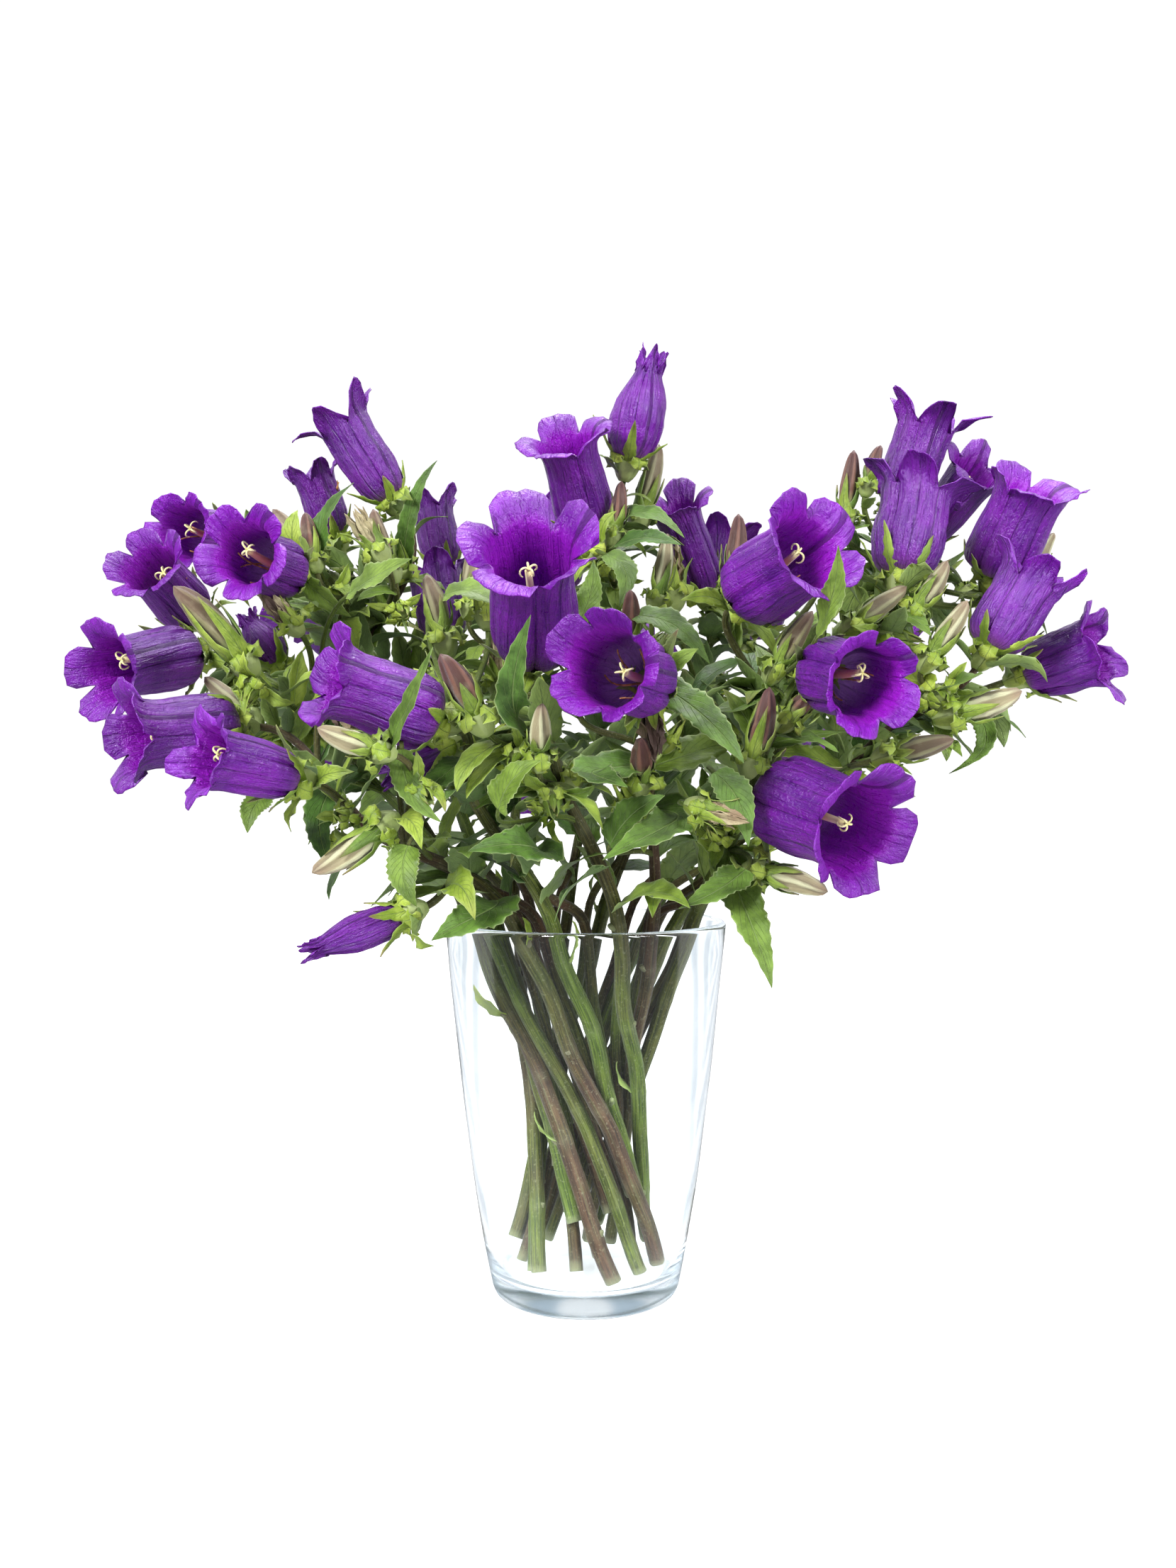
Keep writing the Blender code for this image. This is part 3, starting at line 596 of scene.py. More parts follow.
def nub(green, root, heading, size, seed):
    """A young flower bud hidden in its calyx: a small crumpled green head with two bracts."""
    dice = np.random.default_rng(seed)
    basis = turned_to(heading, dice.uniform(0, TAU))
    top = dice.uniform(9, 14)
    calyx(green, basis, root, lambda q: (3.6 - 2.6 * q) * size * MM, top * size * MM, seed, sepal=top * 1.1,
          hug=-0.16, tint=dice.uniform(0.45, 0.9), size=size, half=3.0, fine=0)
    bracts(green, basis, root, size, seed + 1, dice.uniform(0.35, 0.7))


def bracts(green, basis, root, size, seed, tint, reach=(13, 22)):
    """Narrow leaves that stand out from just below a flower head and arch over."""
    dice = np.random.default_rng(seed)
    turn = dice.uniform(0, TAU)
    for k in range(2):
        out = spoke(turn + k * 2.3 + dice.uniform(-0.4, 0.4))
        length = dice.uniform(*reach) * size * MM
        start = np.array((0, 0, -8.5 * size * MM)) + out * 1.4 * MM
        rise = dice.uniform(0.1, 0.9)
        ways = (out + UP * rise) * 0.35, (out + UP * rise * 0.9) * 0.7, out + UP * (rise * 0.7 - 0.35)
        path = bezier(start, *(start + way * length for way in ways), 10)
        leaf(green, path @ basis + root, length * dice.uniform(0.13, 0.19), UP @ basis,
             (tint + dice.uniform(-0.2, 0.2), 0, 0.2 * dice.uniform()), lance, fold=dice.uniform(0.1, 0.5),
             wave=dice.uniform(0.15, 0.35), crest=9, teeth=0.16, seed=seed * 3 + k, cols=5,
             twist=dice.uniform(-0.9, 0.9))


# ---------------------------------------------------------------- stems


LOW_ROWS = 48  # points along the part of a stem that stands in the vase
SHOOT_ROWS = 14


def stem_axis(index, end, heading):
    """A main stem's path: twisted round the vase's waist, then over the rim to its hub and on to its top
    flower."""
    angle = math.radians(-90 + 360 / STEM_COUNT * index)
    out = spoke(angle) * WAIST_RADII[index % 2]
    lean = spoke(angle - TAU / 4)
    heights = np.linspace(FOOT_HEIGHTS[index], RIM_HEIGHT, LOW_ROWS)
    over = heights - WAIST_HEIGHT
    aside = over * np.where(over > 0, LEAN_ABOVE, LEAN_BELOW)
    low = (out + np.outer(aside, lean) + np.outer(heights, UP)) * MM
    # a grown stem is never quite straight: it bends a little between its leaf joints
    fade = np.sin(np.clip((RIM_HEIGHT - heights) / 30, 0, 1) * math.pi / 2)
    for step, size in ((47.0, 0.4), (83.0, 0.9)):
        sway = heights / step * TAU + index * 2.1
        waver = np.outer(np.cos(sway), unit(out)) + np.outer(np.sin(sway * 0.9), lean)
        low += waver * (fade * size * MM)[:, None]
    rise = unit(lean * LEAN_ABOVE + UP)
    hub, rim = mm(HUBS[index]), low[-1]
    reach = np.linalg.norm(hub - rim)
    to_end = end - hub
    through = unit(rise + unit(hub - rim) + unit(to_end))
    middle = bezier(rim, rim + rise * 0.4 * reach, hub - through * 0.3 * reach, hub, 22)[1:]
    reach = np.linalg.norm(to_end)
    top = bezier(hub, hub + through * 0.35 * reach, end - heading * 0.4 * reach, end, 18)[1:]
    return np.concatenate([low, middle, top])


def shoot(wood, axis, target, heading, sides, thick, tone):
    """A side shoot with its bark, which leaves its stem at a slant below its target. Returns its path."""
    grain = unit(np.gradient(axis, axis=0))
    run = target - axis
    distance = np.linalg.norm(run, axis=1)
    steep = np.clip(0.45 - (unit(run) * grain).sum(1), 0, None)
    cost = distance * (1 + 2.5 * steep)
    cost[:LOW_ROWS] = 9
    i = int(cost[:-3].argmin())
    reach = 0.35 * distance[i]
    leave = unit(grain[i] + unit(run[i]))
    path = bezier(axis[i], axis[i] + leave * reach, target - heading * reach, target, SHOOT_ROWS)
    sweep(wood, path, np.linspace(*thick, SHOOT_ROWS) * MM, sides, (tone, 0, 0), ribs=5, rib=0.08)
    return path


def seat(node, heading):
    """The centre of a corolla's base ring, read from its CAD solid."""
    points = np.array([v.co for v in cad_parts[node].data.vertices], float)
    depth = points @ heading
    return points[depth < depth.min() + 0.9 * MM].mean(0)


def keep_outs():
    """Every bell and bud as a line with a radius: base, tip, radius, and how far in front of it leaves stay
    away."""
    lines = []
    for _, kind, width, base, mouth, _ in BELLS:
        base, mouth = mm(base), mm(mouth)
        tip = mouth + unit(mouth - base) * 6 * MM
        lines.append((base, tip, (SHAPE[kind][8] * width + 2.5) * MM, 34 * MM))
    for _, root, tip, radius, _ in BUDS:
        lines.append((mm(root), mm(tip), (radius + 1.5) * MM, 0))
    return lines


FRONT_BELLS = 0.06  # bells whose base is nearer the front than this (m) are kept in sight


def clear_of(points, lines):
    """Whether a leaf stays out of the bells and buds, out of the space before a bell's mouth, and does not
    hide one from the front."""
    for base, tip, radius, room in lines:
        axis = tip - base
        length = np.linalg.norm(axis)
        way = axis / length
        depth = (points - base) @ way
        away = np.linalg.norm(points - base - np.clip(depth, 0, length)[:, None] * way, axis=1)
        if (away < radius).any():
            return False
        side = np.linalg.norm(points - base - depth[:, None] * way, axis=1)
        if room and ((depth > length) & (depth < length + room) & (side < radius)).any():
            return False
        # from the front: compare directions from the camera
        steps = base + np.linspace(0.35, 1.05, 5)[:, None] * axis
        seen, mine = ((v - CAMERA_PLACE) / (v - CAMERA_PLACE)[:, 1:2] for v in (steps, points))
        gap = np.linalg.norm((mine[:, None] - seen)[..., [0, 2]], axis=2) * (steps - CAMERA_PLACE)[:, 1]
        nearer = points[:, None, 1] < steps[:, 1] - radius * 0.5
        if room and base[1] < FRONT_BELLS and ((gap < radius * 0.85) & nearer).sum() > 3:
            return False
    return True


def inside_vase(points):
    """Whether every point below the rim is well inside the glass."""
    rim, floor_radius, slope = 0.154, 0.036, 0.10
    low = points[points[:, 2] < rim]
    return (np.linalg.norm(low[:, :2], axis=1) < floor_radius + low[:, 2] * slope).all()


# ---------------------------------------------------------------- materials


def colour(red, green, blue):
    """sRGB out of 255 to linear."""
    shares = (v / 255 for v in (red, green, blue))
    return tuple(((v + 0.055) / 1.055) ** 2.4 if v > 0.04 else v / 12.92 for v in shares)


class Nodes:
    """A node tree under construction. Most calls add one node and return its output. Wherever a value is
    asked for, it may be a number, a colour or the output of another node."""

    def __init__(self, tree):
        self.tree = tree

    def add(self, kind, **settings):
        node = self.tree.nodes.new(kind)
        for key, value in settings.items():
            setattr(node, key, value)
        return node

    def fill(self, node, values):
        for key, value in values.items():
            socket = node.inputs[key]
            if isinstance(value, (int, float)):
                socket.default_value = value
            elif isinstance(value, tuple):
                socket.default_value = (*value, 1.0)
            elif value is not None:
                self.tree.links.new(value, socket)
        return node.outputs

    def maths(self, operation, *values, clamp=False):
        node = self.add("ShaderNodeMath", operation=operation, use_clamp=clamp)
        return self.fill(node, dict(enumerate(values)))[0]

    def times(self, a, b):
        return self.maths("MULTIPLY", a, b)

    def plus(self, a, b, clamp=False):
        return self.maths("ADD", a, b, clamp=clamp)

    def minus(self, a, b, clamp=False):
        return self.maths("SUBTRACT", a, b, clamp=clamp)

    def size_of(self, value):
        return self.maths("ABSOLUTE", value)

    def span(self, value, low, high, to_low=0.0, to_high=1.0):
        """A soft step of the value from one range to another."""
        node = self.add("ShaderNodeMapRange", interpolation_type="SMOOTHSTEP")
        limits = {"From Min": low, "From Max": high, "To Min": to_low, "To Max": to_high}
        return self.fill(node, {"Value": value, **limits})["Result"]

    def blend(self, factor, a, b, mode="MIX"):
        node = self.add("ShaderNodeMix", data_type="RGBA", blend_type=mode)
        return self.fill(node, {"Factor": factor, "A": a, "B": b})["Result"]

    def ramp(self, factor, a, b):
        """A blend of two sRGB colours."""
        return self.blend(factor, colour(*a), colour(*b))

    def coats(self, body, *layers):
        """Colours over the body: each layer is where it lies, how much of it, and its sRGB colour."""
        for where, amount, rgb in layers:
            body = self.blend(where if amount == 1 else self.times(where, amount), body, colour(*rgb))
        return body

    def noise(self, vector, scale, detail=3.0, rough=0.5, warp=0.0):
        values = {"Vector": vector, "Scale": scale, "Detail": detail, "Roughness": rough, "Distortion": warp}
        return self.fill(self.add("ShaderNodeTexNoise"), values)["Fac"]

    def bumps(self, *layers):
        """Bumps over one another: each layer is a height, a strength and a distance in metres."""
        normal = None
        for height, strength, distance in layers:
            values = {"Height": height, "Strength": strength, "Distance": distance, "Normal": normal}
            normal = self.fill(self.add("ShaderNodeBump"), values)["Normal"]
        return normal

    def joined(self, x, y, z):
        return self.fill(self.add("ShaderNodeCombineXYZ"), {"X": x, "Y": y, "Z": z})[0]

    def grey(self, value):
        return self.joined(value, value, value)

    def parts(self, vector):
        return self.fill(self.add("ShaderNodeSeparateXYZ"), {"Vector": vector})

    def attribute(self, name):
        return self.parts(self.add("ShaderNodeAttribute", attribute_name=name).outputs["Vector"])

    def place(self):
        return self.add("ShaderNodeTexCoord").outputs["Object"]

    def surface(self, values):
        self.fill(self.tree.nodes["Principled BSDF"], values)


def new_material(name):
    mat = bpy.data.materials.new(name)
    mat.use_nodes = True
    return mat, Nodes(mat.node_tree)


def petal_material():
    """Corollas: grow holds angle, share along and the side (0 outer, 1 inner); look holds the place across
    a lobe, the share along the lobe and a tone of the flower's own."""
    mat, n = new_material("petal")
    around, along, inside = n.attribute("grow")
    phi, in_lobe, seed = n.attribute("look")
    spot = n.place()
    edge = n.size_of(phi)
    # fine veins run lengthwise and branch a little; pleats are broader folds of the same kind
    shift = n.times(seed, 40.0)
    fine = n.noise(n.joined(n.times(around, 9.0), n.times(along, 2.2), shift), 2.4, 4.0, 0.62, 0.6)
    veins = n.span(n.size_of(n.minus(fine, 0.5)), 0.0, 0.045, 1.0, 0.0)
    pleats = n.noise(n.joined(n.times(around, 3.4), n.times(along, 1.5), shift), 2.0, 3.0, 0.55, 0.8)
    rib = n.span(edge, 0.0, 0.075, 1.0, 0.0)
    # seam is the line between two lobes; on the tube it is painted dark as painted shade in the groove there,
    # and it also sinks the bump
    seam = n.span(edge, 0.92, 1.0)
    patches = n.noise(spot, 55.0, 3.0, 0.6)
    mottle = n.span(patches, 0.3, 0.7)
    outer = n.coats(n.ramp(n.span(patches, 0.35, 0.68), (92, 5, 138), (120, 11, 166)),
                    # painted light: the pleats are painted a paler violet where they stand out, as light
                    # catching the fold crests
                    (n.span(pleats, 0.42, 0.62), 0.28, (138, 36, 174)),
                    (veins, 0.32, (50, 4, 88)),
                    (rib, 0.35, (52, 6, 92)),
                    # painted shade: the grooves between the lobes on the tube are painted dark
                    (seam, 0.55, (40, 3, 76)),
                    (n.span(along, 0.14, 0.0), 0.55, (136, 84, 150)))
    flare = n.coats(n.ramp(mottle, (104, 4, 148), (134, 13, 184)),
                    (veins, 0.35, (76, 4, 118)),
                    (rib, 0.30, (78, 4, 118)))
    # painted light: the deep part of the inside is painted paler, standing in for light that comes through
    # the thin tube, which the petal shader does not carry; the pale ring at the very base is partly the
    # flower's own pale base and partly that painted light
    inner = n.coats(n.ramp(n.span(along, 0.95, 0.5), (102, 5, 142), (156, 20, 198)),
                    (mottle, 0.4, (168, 36, 208)),
                    (veins, 0.35, (104, 6, 150)),
                    (rib, 0.30, (98, 6, 144)),
                    # partly the flower's own pale base, partly painted light from through the tube
                    (n.span(along, 0.34, 0.04), 0.9, (196, 150, 222)))
    outer = n.blend(n.times(in_lobe, 0.85), outer, flare)
    inner = n.blend(n.span(in_lobe, 0.0, 0.5, 0.0, 0.95), inner, flare)
    tone = n.grey(n.span(seed, 0.0, 1.0, 0.86, 1.12))
    cells = n.add("ShaderNodeTexVoronoi", feature="DISTANCE_TO_EDGE")
    n.fill(cells, {"Vector": n.joined(n.times(around, 10.0), n.times(along, 34.0), seed), "Scale": 1.0})
    n.surface({
        "Base Color": n.blend(1.0, n.blend(inside, outer, inner), tone, "MULTIPLY"),
        "Roughness": n.span(n.noise(spot, 240.0, 3.0, 0.6), 0.3, 0.75, 0.27, 0.42),
        "Specular IOR Level": 0.95, "Specular Tint": colour(236, 230, 255),
        "Sheen Weight": 0.04, "Sheen Roughness": 0.35, "Sheen Tint": colour(200, 170, 235),
        "Normal": n.bumps((n.noise(spot, 210.0, 5.0, 0.62, 1.1), 0.75, 0.0013),
                          (pleats, 0.95, 0.0021),
                          (n.span(cells.outputs["Distance"], 0.0, 0.16), 0.35, 0.00035),
                          (fine, 0.45, 0.0007),
                          (n.maths("MAXIMUM", rib, seam), 0.6, -0.0006),
                          (n.noise(spot, 900.0, 2.0), 0.18, 0.00012))})
    return mat


def leaf_material():
    """Leaves and calyces: grow holds the place across, the share along and the side; look holds tint (0
    dark leaf, 1 light calyx), paleness (1 dry and cream, 2 dry and brown) and wear."""
    mat, n = new_material("leaf")
    across, along, lower = n.attribute("grow")
    tint, pale, worn = n.attribute("look")
    spot = n.place()
    edge = n.size_of(across)
    slant = n.minus(n.times(along, 9.0), n.times(edge, 3.2))
    wobble = n.times(n.noise(spot, 70.0, 2.0), 0.9)
    wave = n.size_of(n.maths("SINE", n.times(n.plus(slant, wobble), math.pi)))
    side_vein = n.times(n.span(wave, 0.0, 0.22, 1.0, 0.0), n.span(edge, 0.85, 0.4))
    vein = n.maths("MAXIMUM", n.span(edge, 0.0, 0.07, 1.0, 0.0), n.times(side_vein, 0.75))
    patches = n.noise(spot, 90.0, 5.0, 0.65)
    mottle = n.span(patches, 0.3, 0.7)
    rusty = n.times(n.span(n.plus(along, n.times(patches, 0.4)), 0.85, 1.25), worn)
    dark, light = n.ramp(mottle, (34, 63, 16), (84, 126, 44)), n.ramp(mottle, (130, 160, 30), (194, 212, 84))
    fresh = n.coats(n.blend(tint, dark, light),
                    (vein, 0.62, (142, 168, 98)),
                    (lower, 0.45, (128, 150, 104)),
                    (rusty, 1, (126, 96, 72)),
                    (n.span(edge, 0.90, 1.0), 0.5, (178, 194, 134)))
    cream = n.ramp(n.span(patches, 0.35, 0.65), (196, 186, 146), (142, 120, 92))
    dry = n.blend(n.span(pale, 1.2, 1.8), cream, n.ramp(patches, (58, 40, 40), (120, 96, 84)))
    n.surface({
        "Base Color": n.blend(n.span(pale, 0.9, 1.0), fresh, dry),
        "Roughness": n.span(patches, 0.3, 0.7, 0.42, 0.6),
        "Specular IOR Level": 0.5,
        "Sheen Weight": 0.08, "Sheen Roughness": 0.5, "Sheen Tint": colour(220, 230, 200),
        "Normal": n.bumps((n.minus(1.0, vein), 0.7, 0.0011), (n.noise(spot, 330.0, 5.0, 0.65), 0.6, 0.0009))})
    return mat


def bud_material():
    """Buds: grow holds angle, share along and pleat height; look holds tint (0 olive and brown, 1 cream, 2
    maroon)."""
    mat, n = new_material("bud")
    around, along, pleat = n.attribute("grow")
    tint, shade, _ = n.attribute("look")
    spot = n.place()
    lines = n.noise(n.joined(n.times(around, 7.0), n.times(along, 1.5), shade), 3.0, 3.0, 0.6, 0.3)
    ridge = n.span(pleat, 0.2, 0.95)
    olive = n.coats(n.ramp(n.times(ridge, 0.8), (92, 76, 54), (132, 130, 86)),
                    (n.span(along, 0.5, 1.0), 0.7, (106, 76, 66)))
    cream = n.coats(n.ramp(ridge, (160, 150, 116), (200, 200, 162)),
                    (n.span(along, 0.7, 1.0), 0.7, (150, 122, 104)))
    maroon = n.coats(n.ramp(ridge, (80, 46, 40), (118, 78, 64)),
                     (n.span(along, 0.6, 1.0), 0.6, (88, 46, 52)))
    body = n.blend(n.span(tint, 1.1, 1.9), n.blend(n.span(tint, 0.2, 0.9), olive, cream), maroon)
    body = n.coats(body,
                   (n.span(along, 0.35, 0.0), 1, (132, 160, 84)),
                   (n.span(lines, 0.45, 0.7), 0.35, (92, 78, 62)),
                   (n.span(n.noise(spot, 130.0, 4.0, 0.6), 0.5, 0.75), 0.2, (190, 186, 150)))
    n.surface({
        "Base Color": body, "Roughness": 0.46, "Specular IOR Level": 0.45,
        "Sheen Weight": 0.2, "Sheen Roughness": 0.5,
        "Normal": n.bumps((lines, 0.5, 0.0006), (n.noise(spot, 700.0), 0.3, 0.0003))})
    return mat


def stem_material():
    """Stems: grow holds angle, millimetres along and rib height; look holds maroon share and paleness."""
    mat, n = new_material("stem")
    around, along, rib = n.attribute("grow")
    maroon, pale, _ = n.attribute("look")
    spot = n.place()
    lines = n.noise(n.joined(n.times(around, 2.6), n.times(along, 0.025), maroon), 2.6, 4.0, 0.6, 0.2)
    streak = n.span(lines, 0.35, 0.68)
    mottle = n.times(n.minus(n.noise(spot, 38.0, 4.0, 0.6), 0.5), 1.4)
    body = n.blend(n.plus(maroon, mottle, clamp=True),
                   n.ramp(streak, (44, 64, 14), (104, 126, 40)), n.ramp(streak, (44, 30, 20), (92, 68, 48)))
    body = n.coats(body,
                   (n.span(rib, 0.3, 1.0), 0.22, (140, 146, 100)),
                   (pale, 1, (196, 204, 160)),
                   (n.span(n.noise(spot, 900.0, 2.0, 0.7), 0.55, 0.72), 0.30, (158, 160, 128)))
    n.surface({
        "Base Color": body, "Roughness": n.span(lines, 0.3, 0.7, 0.5, 0.68), "Specular IOR Level": 0.35,
        "Sheen Weight": 0.12, "Sheen Roughness": 0.4,
        "Normal": n.bumps((lines, 0.5, 0.0006), (n.noise(spot, 800.0), 0.5, 0.0004))})
    return mat


def style_material():
    """Styles: look holds withered stamen (x) and stigma (y); grow holds millimetres along."""
    mat, n = new_material("style")
    along = n.attribute("grow")[1]
    withered, stigma, _ = n.attribute("look")
    spot = n.place()
    patches = n.noise(spot, 400.0)
    shaft = n.coats(n.ramp(n.span(along, 8.0, 24.0), (164, 58, 54), (224, 146, 84)),
                    (n.span(along, 26.0, 33.0), 1, (238, 226, 154)),
                    (stigma, 1, (238, 232, 158)),
                    (patches, 0.25, (250, 246, 216)))
    dry = n.ramp(n.span(patches, 0.35, 0.65), (134, 78, 38), (208, 146, 78))
    n.surface({"Base Color": n.blend(withered, shaft, dry), "Roughness": 0.55, "Sheen Weight": 0.3,
               "Normal": n.bumps((n.noise(spot, 1400.0), 0.5, 0.0003))})
    return mat


def glass_material():
    """Clear glass, slightly blue in its mass and matt in its foot. Shadow rays pass, and so does light that
    has turned ten times inside the wall, so that the rim is not black from above."""
    mat, n = new_material("glass")
    spot = n.place()
    height = n.parts(spot)[2]
    foot = n.span(height, 0.013, 0.007, 0.0, 0.16)
    smears = n.span(n.noise(spot, 22.0, 3.0, 0.6), 0.45, 0.8, 0.0, 0.008)
    n.surface({"Base Color": (0.975, 0.99, 0.995), "Transmission Weight": 1.0, "IOR": 1.48,
               "Specular IOR Level": 0.22, "Roughness": n.plus(foot, smears),
               "Normal": n.bumps((n.noise(spot, 14.0, 1.0), 0.12, 0.0012))})
    clear = n.add("ShaderNodeBsdfTransparent")
    n.fill(clear, {"Color": (0.95, 0.97, 0.98)})
    path = n.add("ShaderNodeLightPath").outputs
    passing = n.maths("MAXIMUM", path["Is Shadow Ray"], n.minus(path["Glossy Depth"], 9.0, clamp=True))
    shader = n.tree.nodes["Principled BSDF"]
    both = n.fill(n.add("ShaderNodeMixShader"), {0: passing, 1: shader.outputs[0], 2: clear.outputs[0]})
    mass = n.fill(n.add("ShaderNodeVolumeAbsorption"), {"Color": (0.45, 0.62, 0.74), "Density": 5.0})
    n.fill(n.tree.nodes["Material Output"], {"Surface": both[0], "Volume": mass[0]})
    return mat


def floor_material():
    """A white floor. Mirrored in the glass it is dim, as if black cloth lay before the vase; through the
    glass it is white behind the vase, with cool bands beside it that draw the walls."""
    mat, n = new_material("floor")
    spot = n.place()
    x, y, _ = n.parts(spot)
    path = n.add("ShaderNodeLightPath").outputs
    reflections = path["Glossy Depth"]
    through = n.minus(path["Is Transmission Ray"], path["Diffuse Depth"], clamp=True)
    turned = n.minus(reflections, 1.0, clamp=True)
    once = n.minus(n.plus(reflections, 0.0, clamp=True), turned)
    before = n.times(n.times(through, n.span(y, -0.05, -0.09)), once)
    mirrored = n.minus(path["Is Glossy Ray"], path["Is Transmission Ray"], clamp=True)
    # light that was trapped in the wall leaves it pale
    trapped = n.minus(reflections, 8.0, clamp=True)
    cloth = n.minus(n.maths("MAXIMUM", mirrored, before), trapped, clamp=True)
    tone = n.times(n.span(n.noise(spot, 3.0), 0.3, 0.7, 0.60, 0.63), n.minus(1.0, n.times(cloth, 0.9)))
    away = n.fill(n.add("ShaderNodeVectorMath", operation="LENGTH"), {0: spot})["Value"]
    seen = n.grey(n.span(away, 0.25, 1.5, 0.52, 0.95))
    beside = n.minus(n.size_of(x), n.plus(0.060, n.times(y, 0.11)))
    bands = n.span(n.maths("SINE", n.times(beside, 70.0)), -0.6, 0.5, 0.45, 1.0)
    # the bands belong to the view from the front, and fade out to the left and right of the vase
    sideways = n.minus(n.size_of(x), n.times(y, 1.2))
    cool = n.times(n.times(n.span(beside, 0.0, 0.03), bands), n.span(sideways, 0.26, 0.08))
    inside = n.blend(cool, (0.80, 0.80, 0.80), (0.02, 0.09, 0.16))
    inside = n.blend(turned, inside, (0.85, 0.90, 0.95))
    glow = n.blend(path["Is Camera Ray"], (0.24, 0.24, 0.24), seen)
    glow = n.blend(cloth, n.blend(through, glow, inside), (0.09, 0.10, 0.11))
    n.surface({"Base Color": n.grey(tone), "Roughness": 0.7, "Specular IOR Level": 0.1,
               "Emission Color": glow, "Emission Strength": 1.0})
    return mat


# ---------------------------------------------------------------- vase

# radius and height of the wall's outside and inside, mm
OUTSIDE = [(54.9, 150), (56.2, 149.6), (56.6, 148.4), (54.9, 131), (50.1, 85), (44.5, 42), (40.5, 18),
           (37.6, 4), (36.2, 1.2), (34, 0), (20, 0), (6, 0), (0.4, 0), (0.2, 0), (0.01, 0)]
INSIDE = [(0.01, 8.6), (0.2, 8.6), (0.4, 8.6), (6, 8.6), (20, 8.7), (31, 9), (35.6, 11.5), (37.9, 19),
          (41.9, 43), (47.4, 85.5), (52.2, 131.5), (53.8, 148.4), (54, 149.4), (54.9, 150)]
VASE_SIDES = 144


def rounded(profile, reach=9):
    """The profile with points added beside each corner, so that the wall bends softly."""
    out = [np.array(profile[0], float)]
    for a, b, c in zip(profile, profile[1:], profile[2:]):
        a, b, c = (np.array(p, float) for p in (a, b, c))
        before, after = np.linalg.norm(b - a), np.linalg.norm(c - b)
        s = min(reach, before * 0.4, after * 0.4)
        p, q = b + (a - b) / before * s, b + (c - b) / after * s
        for t in (0, 0.33, 0.67, 1.0):
            out.append(p * (1 - t) ** 2 + b * 2 * t * (1 - t) + q * t * t)
    out.append(np.array(profile[-1], float))
    return out


def build_vase():
    radius, height = (np.array(rounded(OUTSIDE) + rounded(INSIDE)[:-1]) * MM).T[..., None]
    angle = np.arange(VASE_SIDES) / VASE_SIDES * TAU
    points = stacked(radius * np.cos(angle), radius * np.sin(angle), height)
    # hand-blown unevenness
    points = points * (1 + ripple(points, 40 * MM, 5)[..., None] * np.array((1, 1, 0)) * 0.004)
    piece = Piece("vase_glass")
    piece.grid(np.concatenate([points, points[:1]]), (0, 0, 0), (0, 0, 0))
    piece.finish(glass_material(), "glass", ["vase"])


# ---------------------------------------------------------------- bouquet

# heights (m) above which leaves grow on shoots and on stems, small heads grow, and leaves stand close
SHOOT_LEAF_START, STEM_LEAF_START, HEAD_START, CLOSE_START = 0.158, 0.156, 0.172, 0.195


def extra_leaf(piece, start, grain, way, length, half, tint, seed, lines):
    """A leaf from a stem, rising and then arching over; skipped when it would hit or hide a flower."""
    dice = np.random.default_rng(seed)
    lift = unit(way + grain * dice.uniform(0.1, 1.1) + UP * dice.uniform(0.0, 0.35))
    droop = UP * dice.uniform(-0.75, 0.1)
    rows = 2 * int(np.clip(length / (2.3 * MM) / 2, 5, 10)) + 1
    path = bezier(start, start + lift * length * 0.35, start + lift * length * 0.72 + droop * length * 0.15,
                  start + unit(lift + droop * 0.9) * length, rows)
    sides = unit(np.cross(lift, UP)) * half
    spread = np.concatenate([path[2:], path[3:-1] + sides, path[3:-1] - sides])
    low, high = (np.array(v) for v in CAD_BOX)
    outside = (spread < low - 2 * MM).any() or (spread > high + 2 * MM).any()
    if outside or not clear_of(spread, lines) or not inside_vase(spread):
        return False
    up = unit(UP * 0.8 + grain * 0.6 + dice.normal(size=3) * 0.35)
    leaf(piece, path, half, up, (tint, 0, dice.uniform(0, 0.6) * (dice.uniform() < 0.3)),
         ovate if length > 30 * MM else lance, fold=dice.uniform(0.05, 0.45), wave=dice.uniform(0.06, 0.18),
         crest=dice.uniform(13, 20), teeth=0.12, seed=seed, cols=5, twist=dice.uniform(-0.5, 0.5))
    return True


def small_head(piece, point, frame_there, turn, dice, lines):
    """A young flower bud on a short stalk, if one of four directions has room. Returns the last turn."""
    grain, side, normal = frame_there
    for _ in range(4):
        out = unit(outward(side, normal, turn) + grain * dice.uniform(0.4, 1.4) + dice.normal(size=3) * 0.2)
        root = point + out * dice.uniform(9, 17) * MM
        size = dice.uniform(0.6, 1.0)
        body = root + out[None] * np.linspace(-6, 10, 4)[:, None] * MM
        wide = unit(np.cross(out, UP)) * 4 * MM
        if clear_of(np.concatenate([body + wide, body - wide]), lines):
            ways = point + grain * 3 * MM, root - out * 10 * MM
            sweep(piece, bezier(point, *ways, root - out * 8 * size * MM, 5), np.full(5, MM), 7, (0.8, 0, 0))
            nub(piece, root, out, size, int(dice.integers(1 << 30)))
            break
        turn += 1.7
    return turn


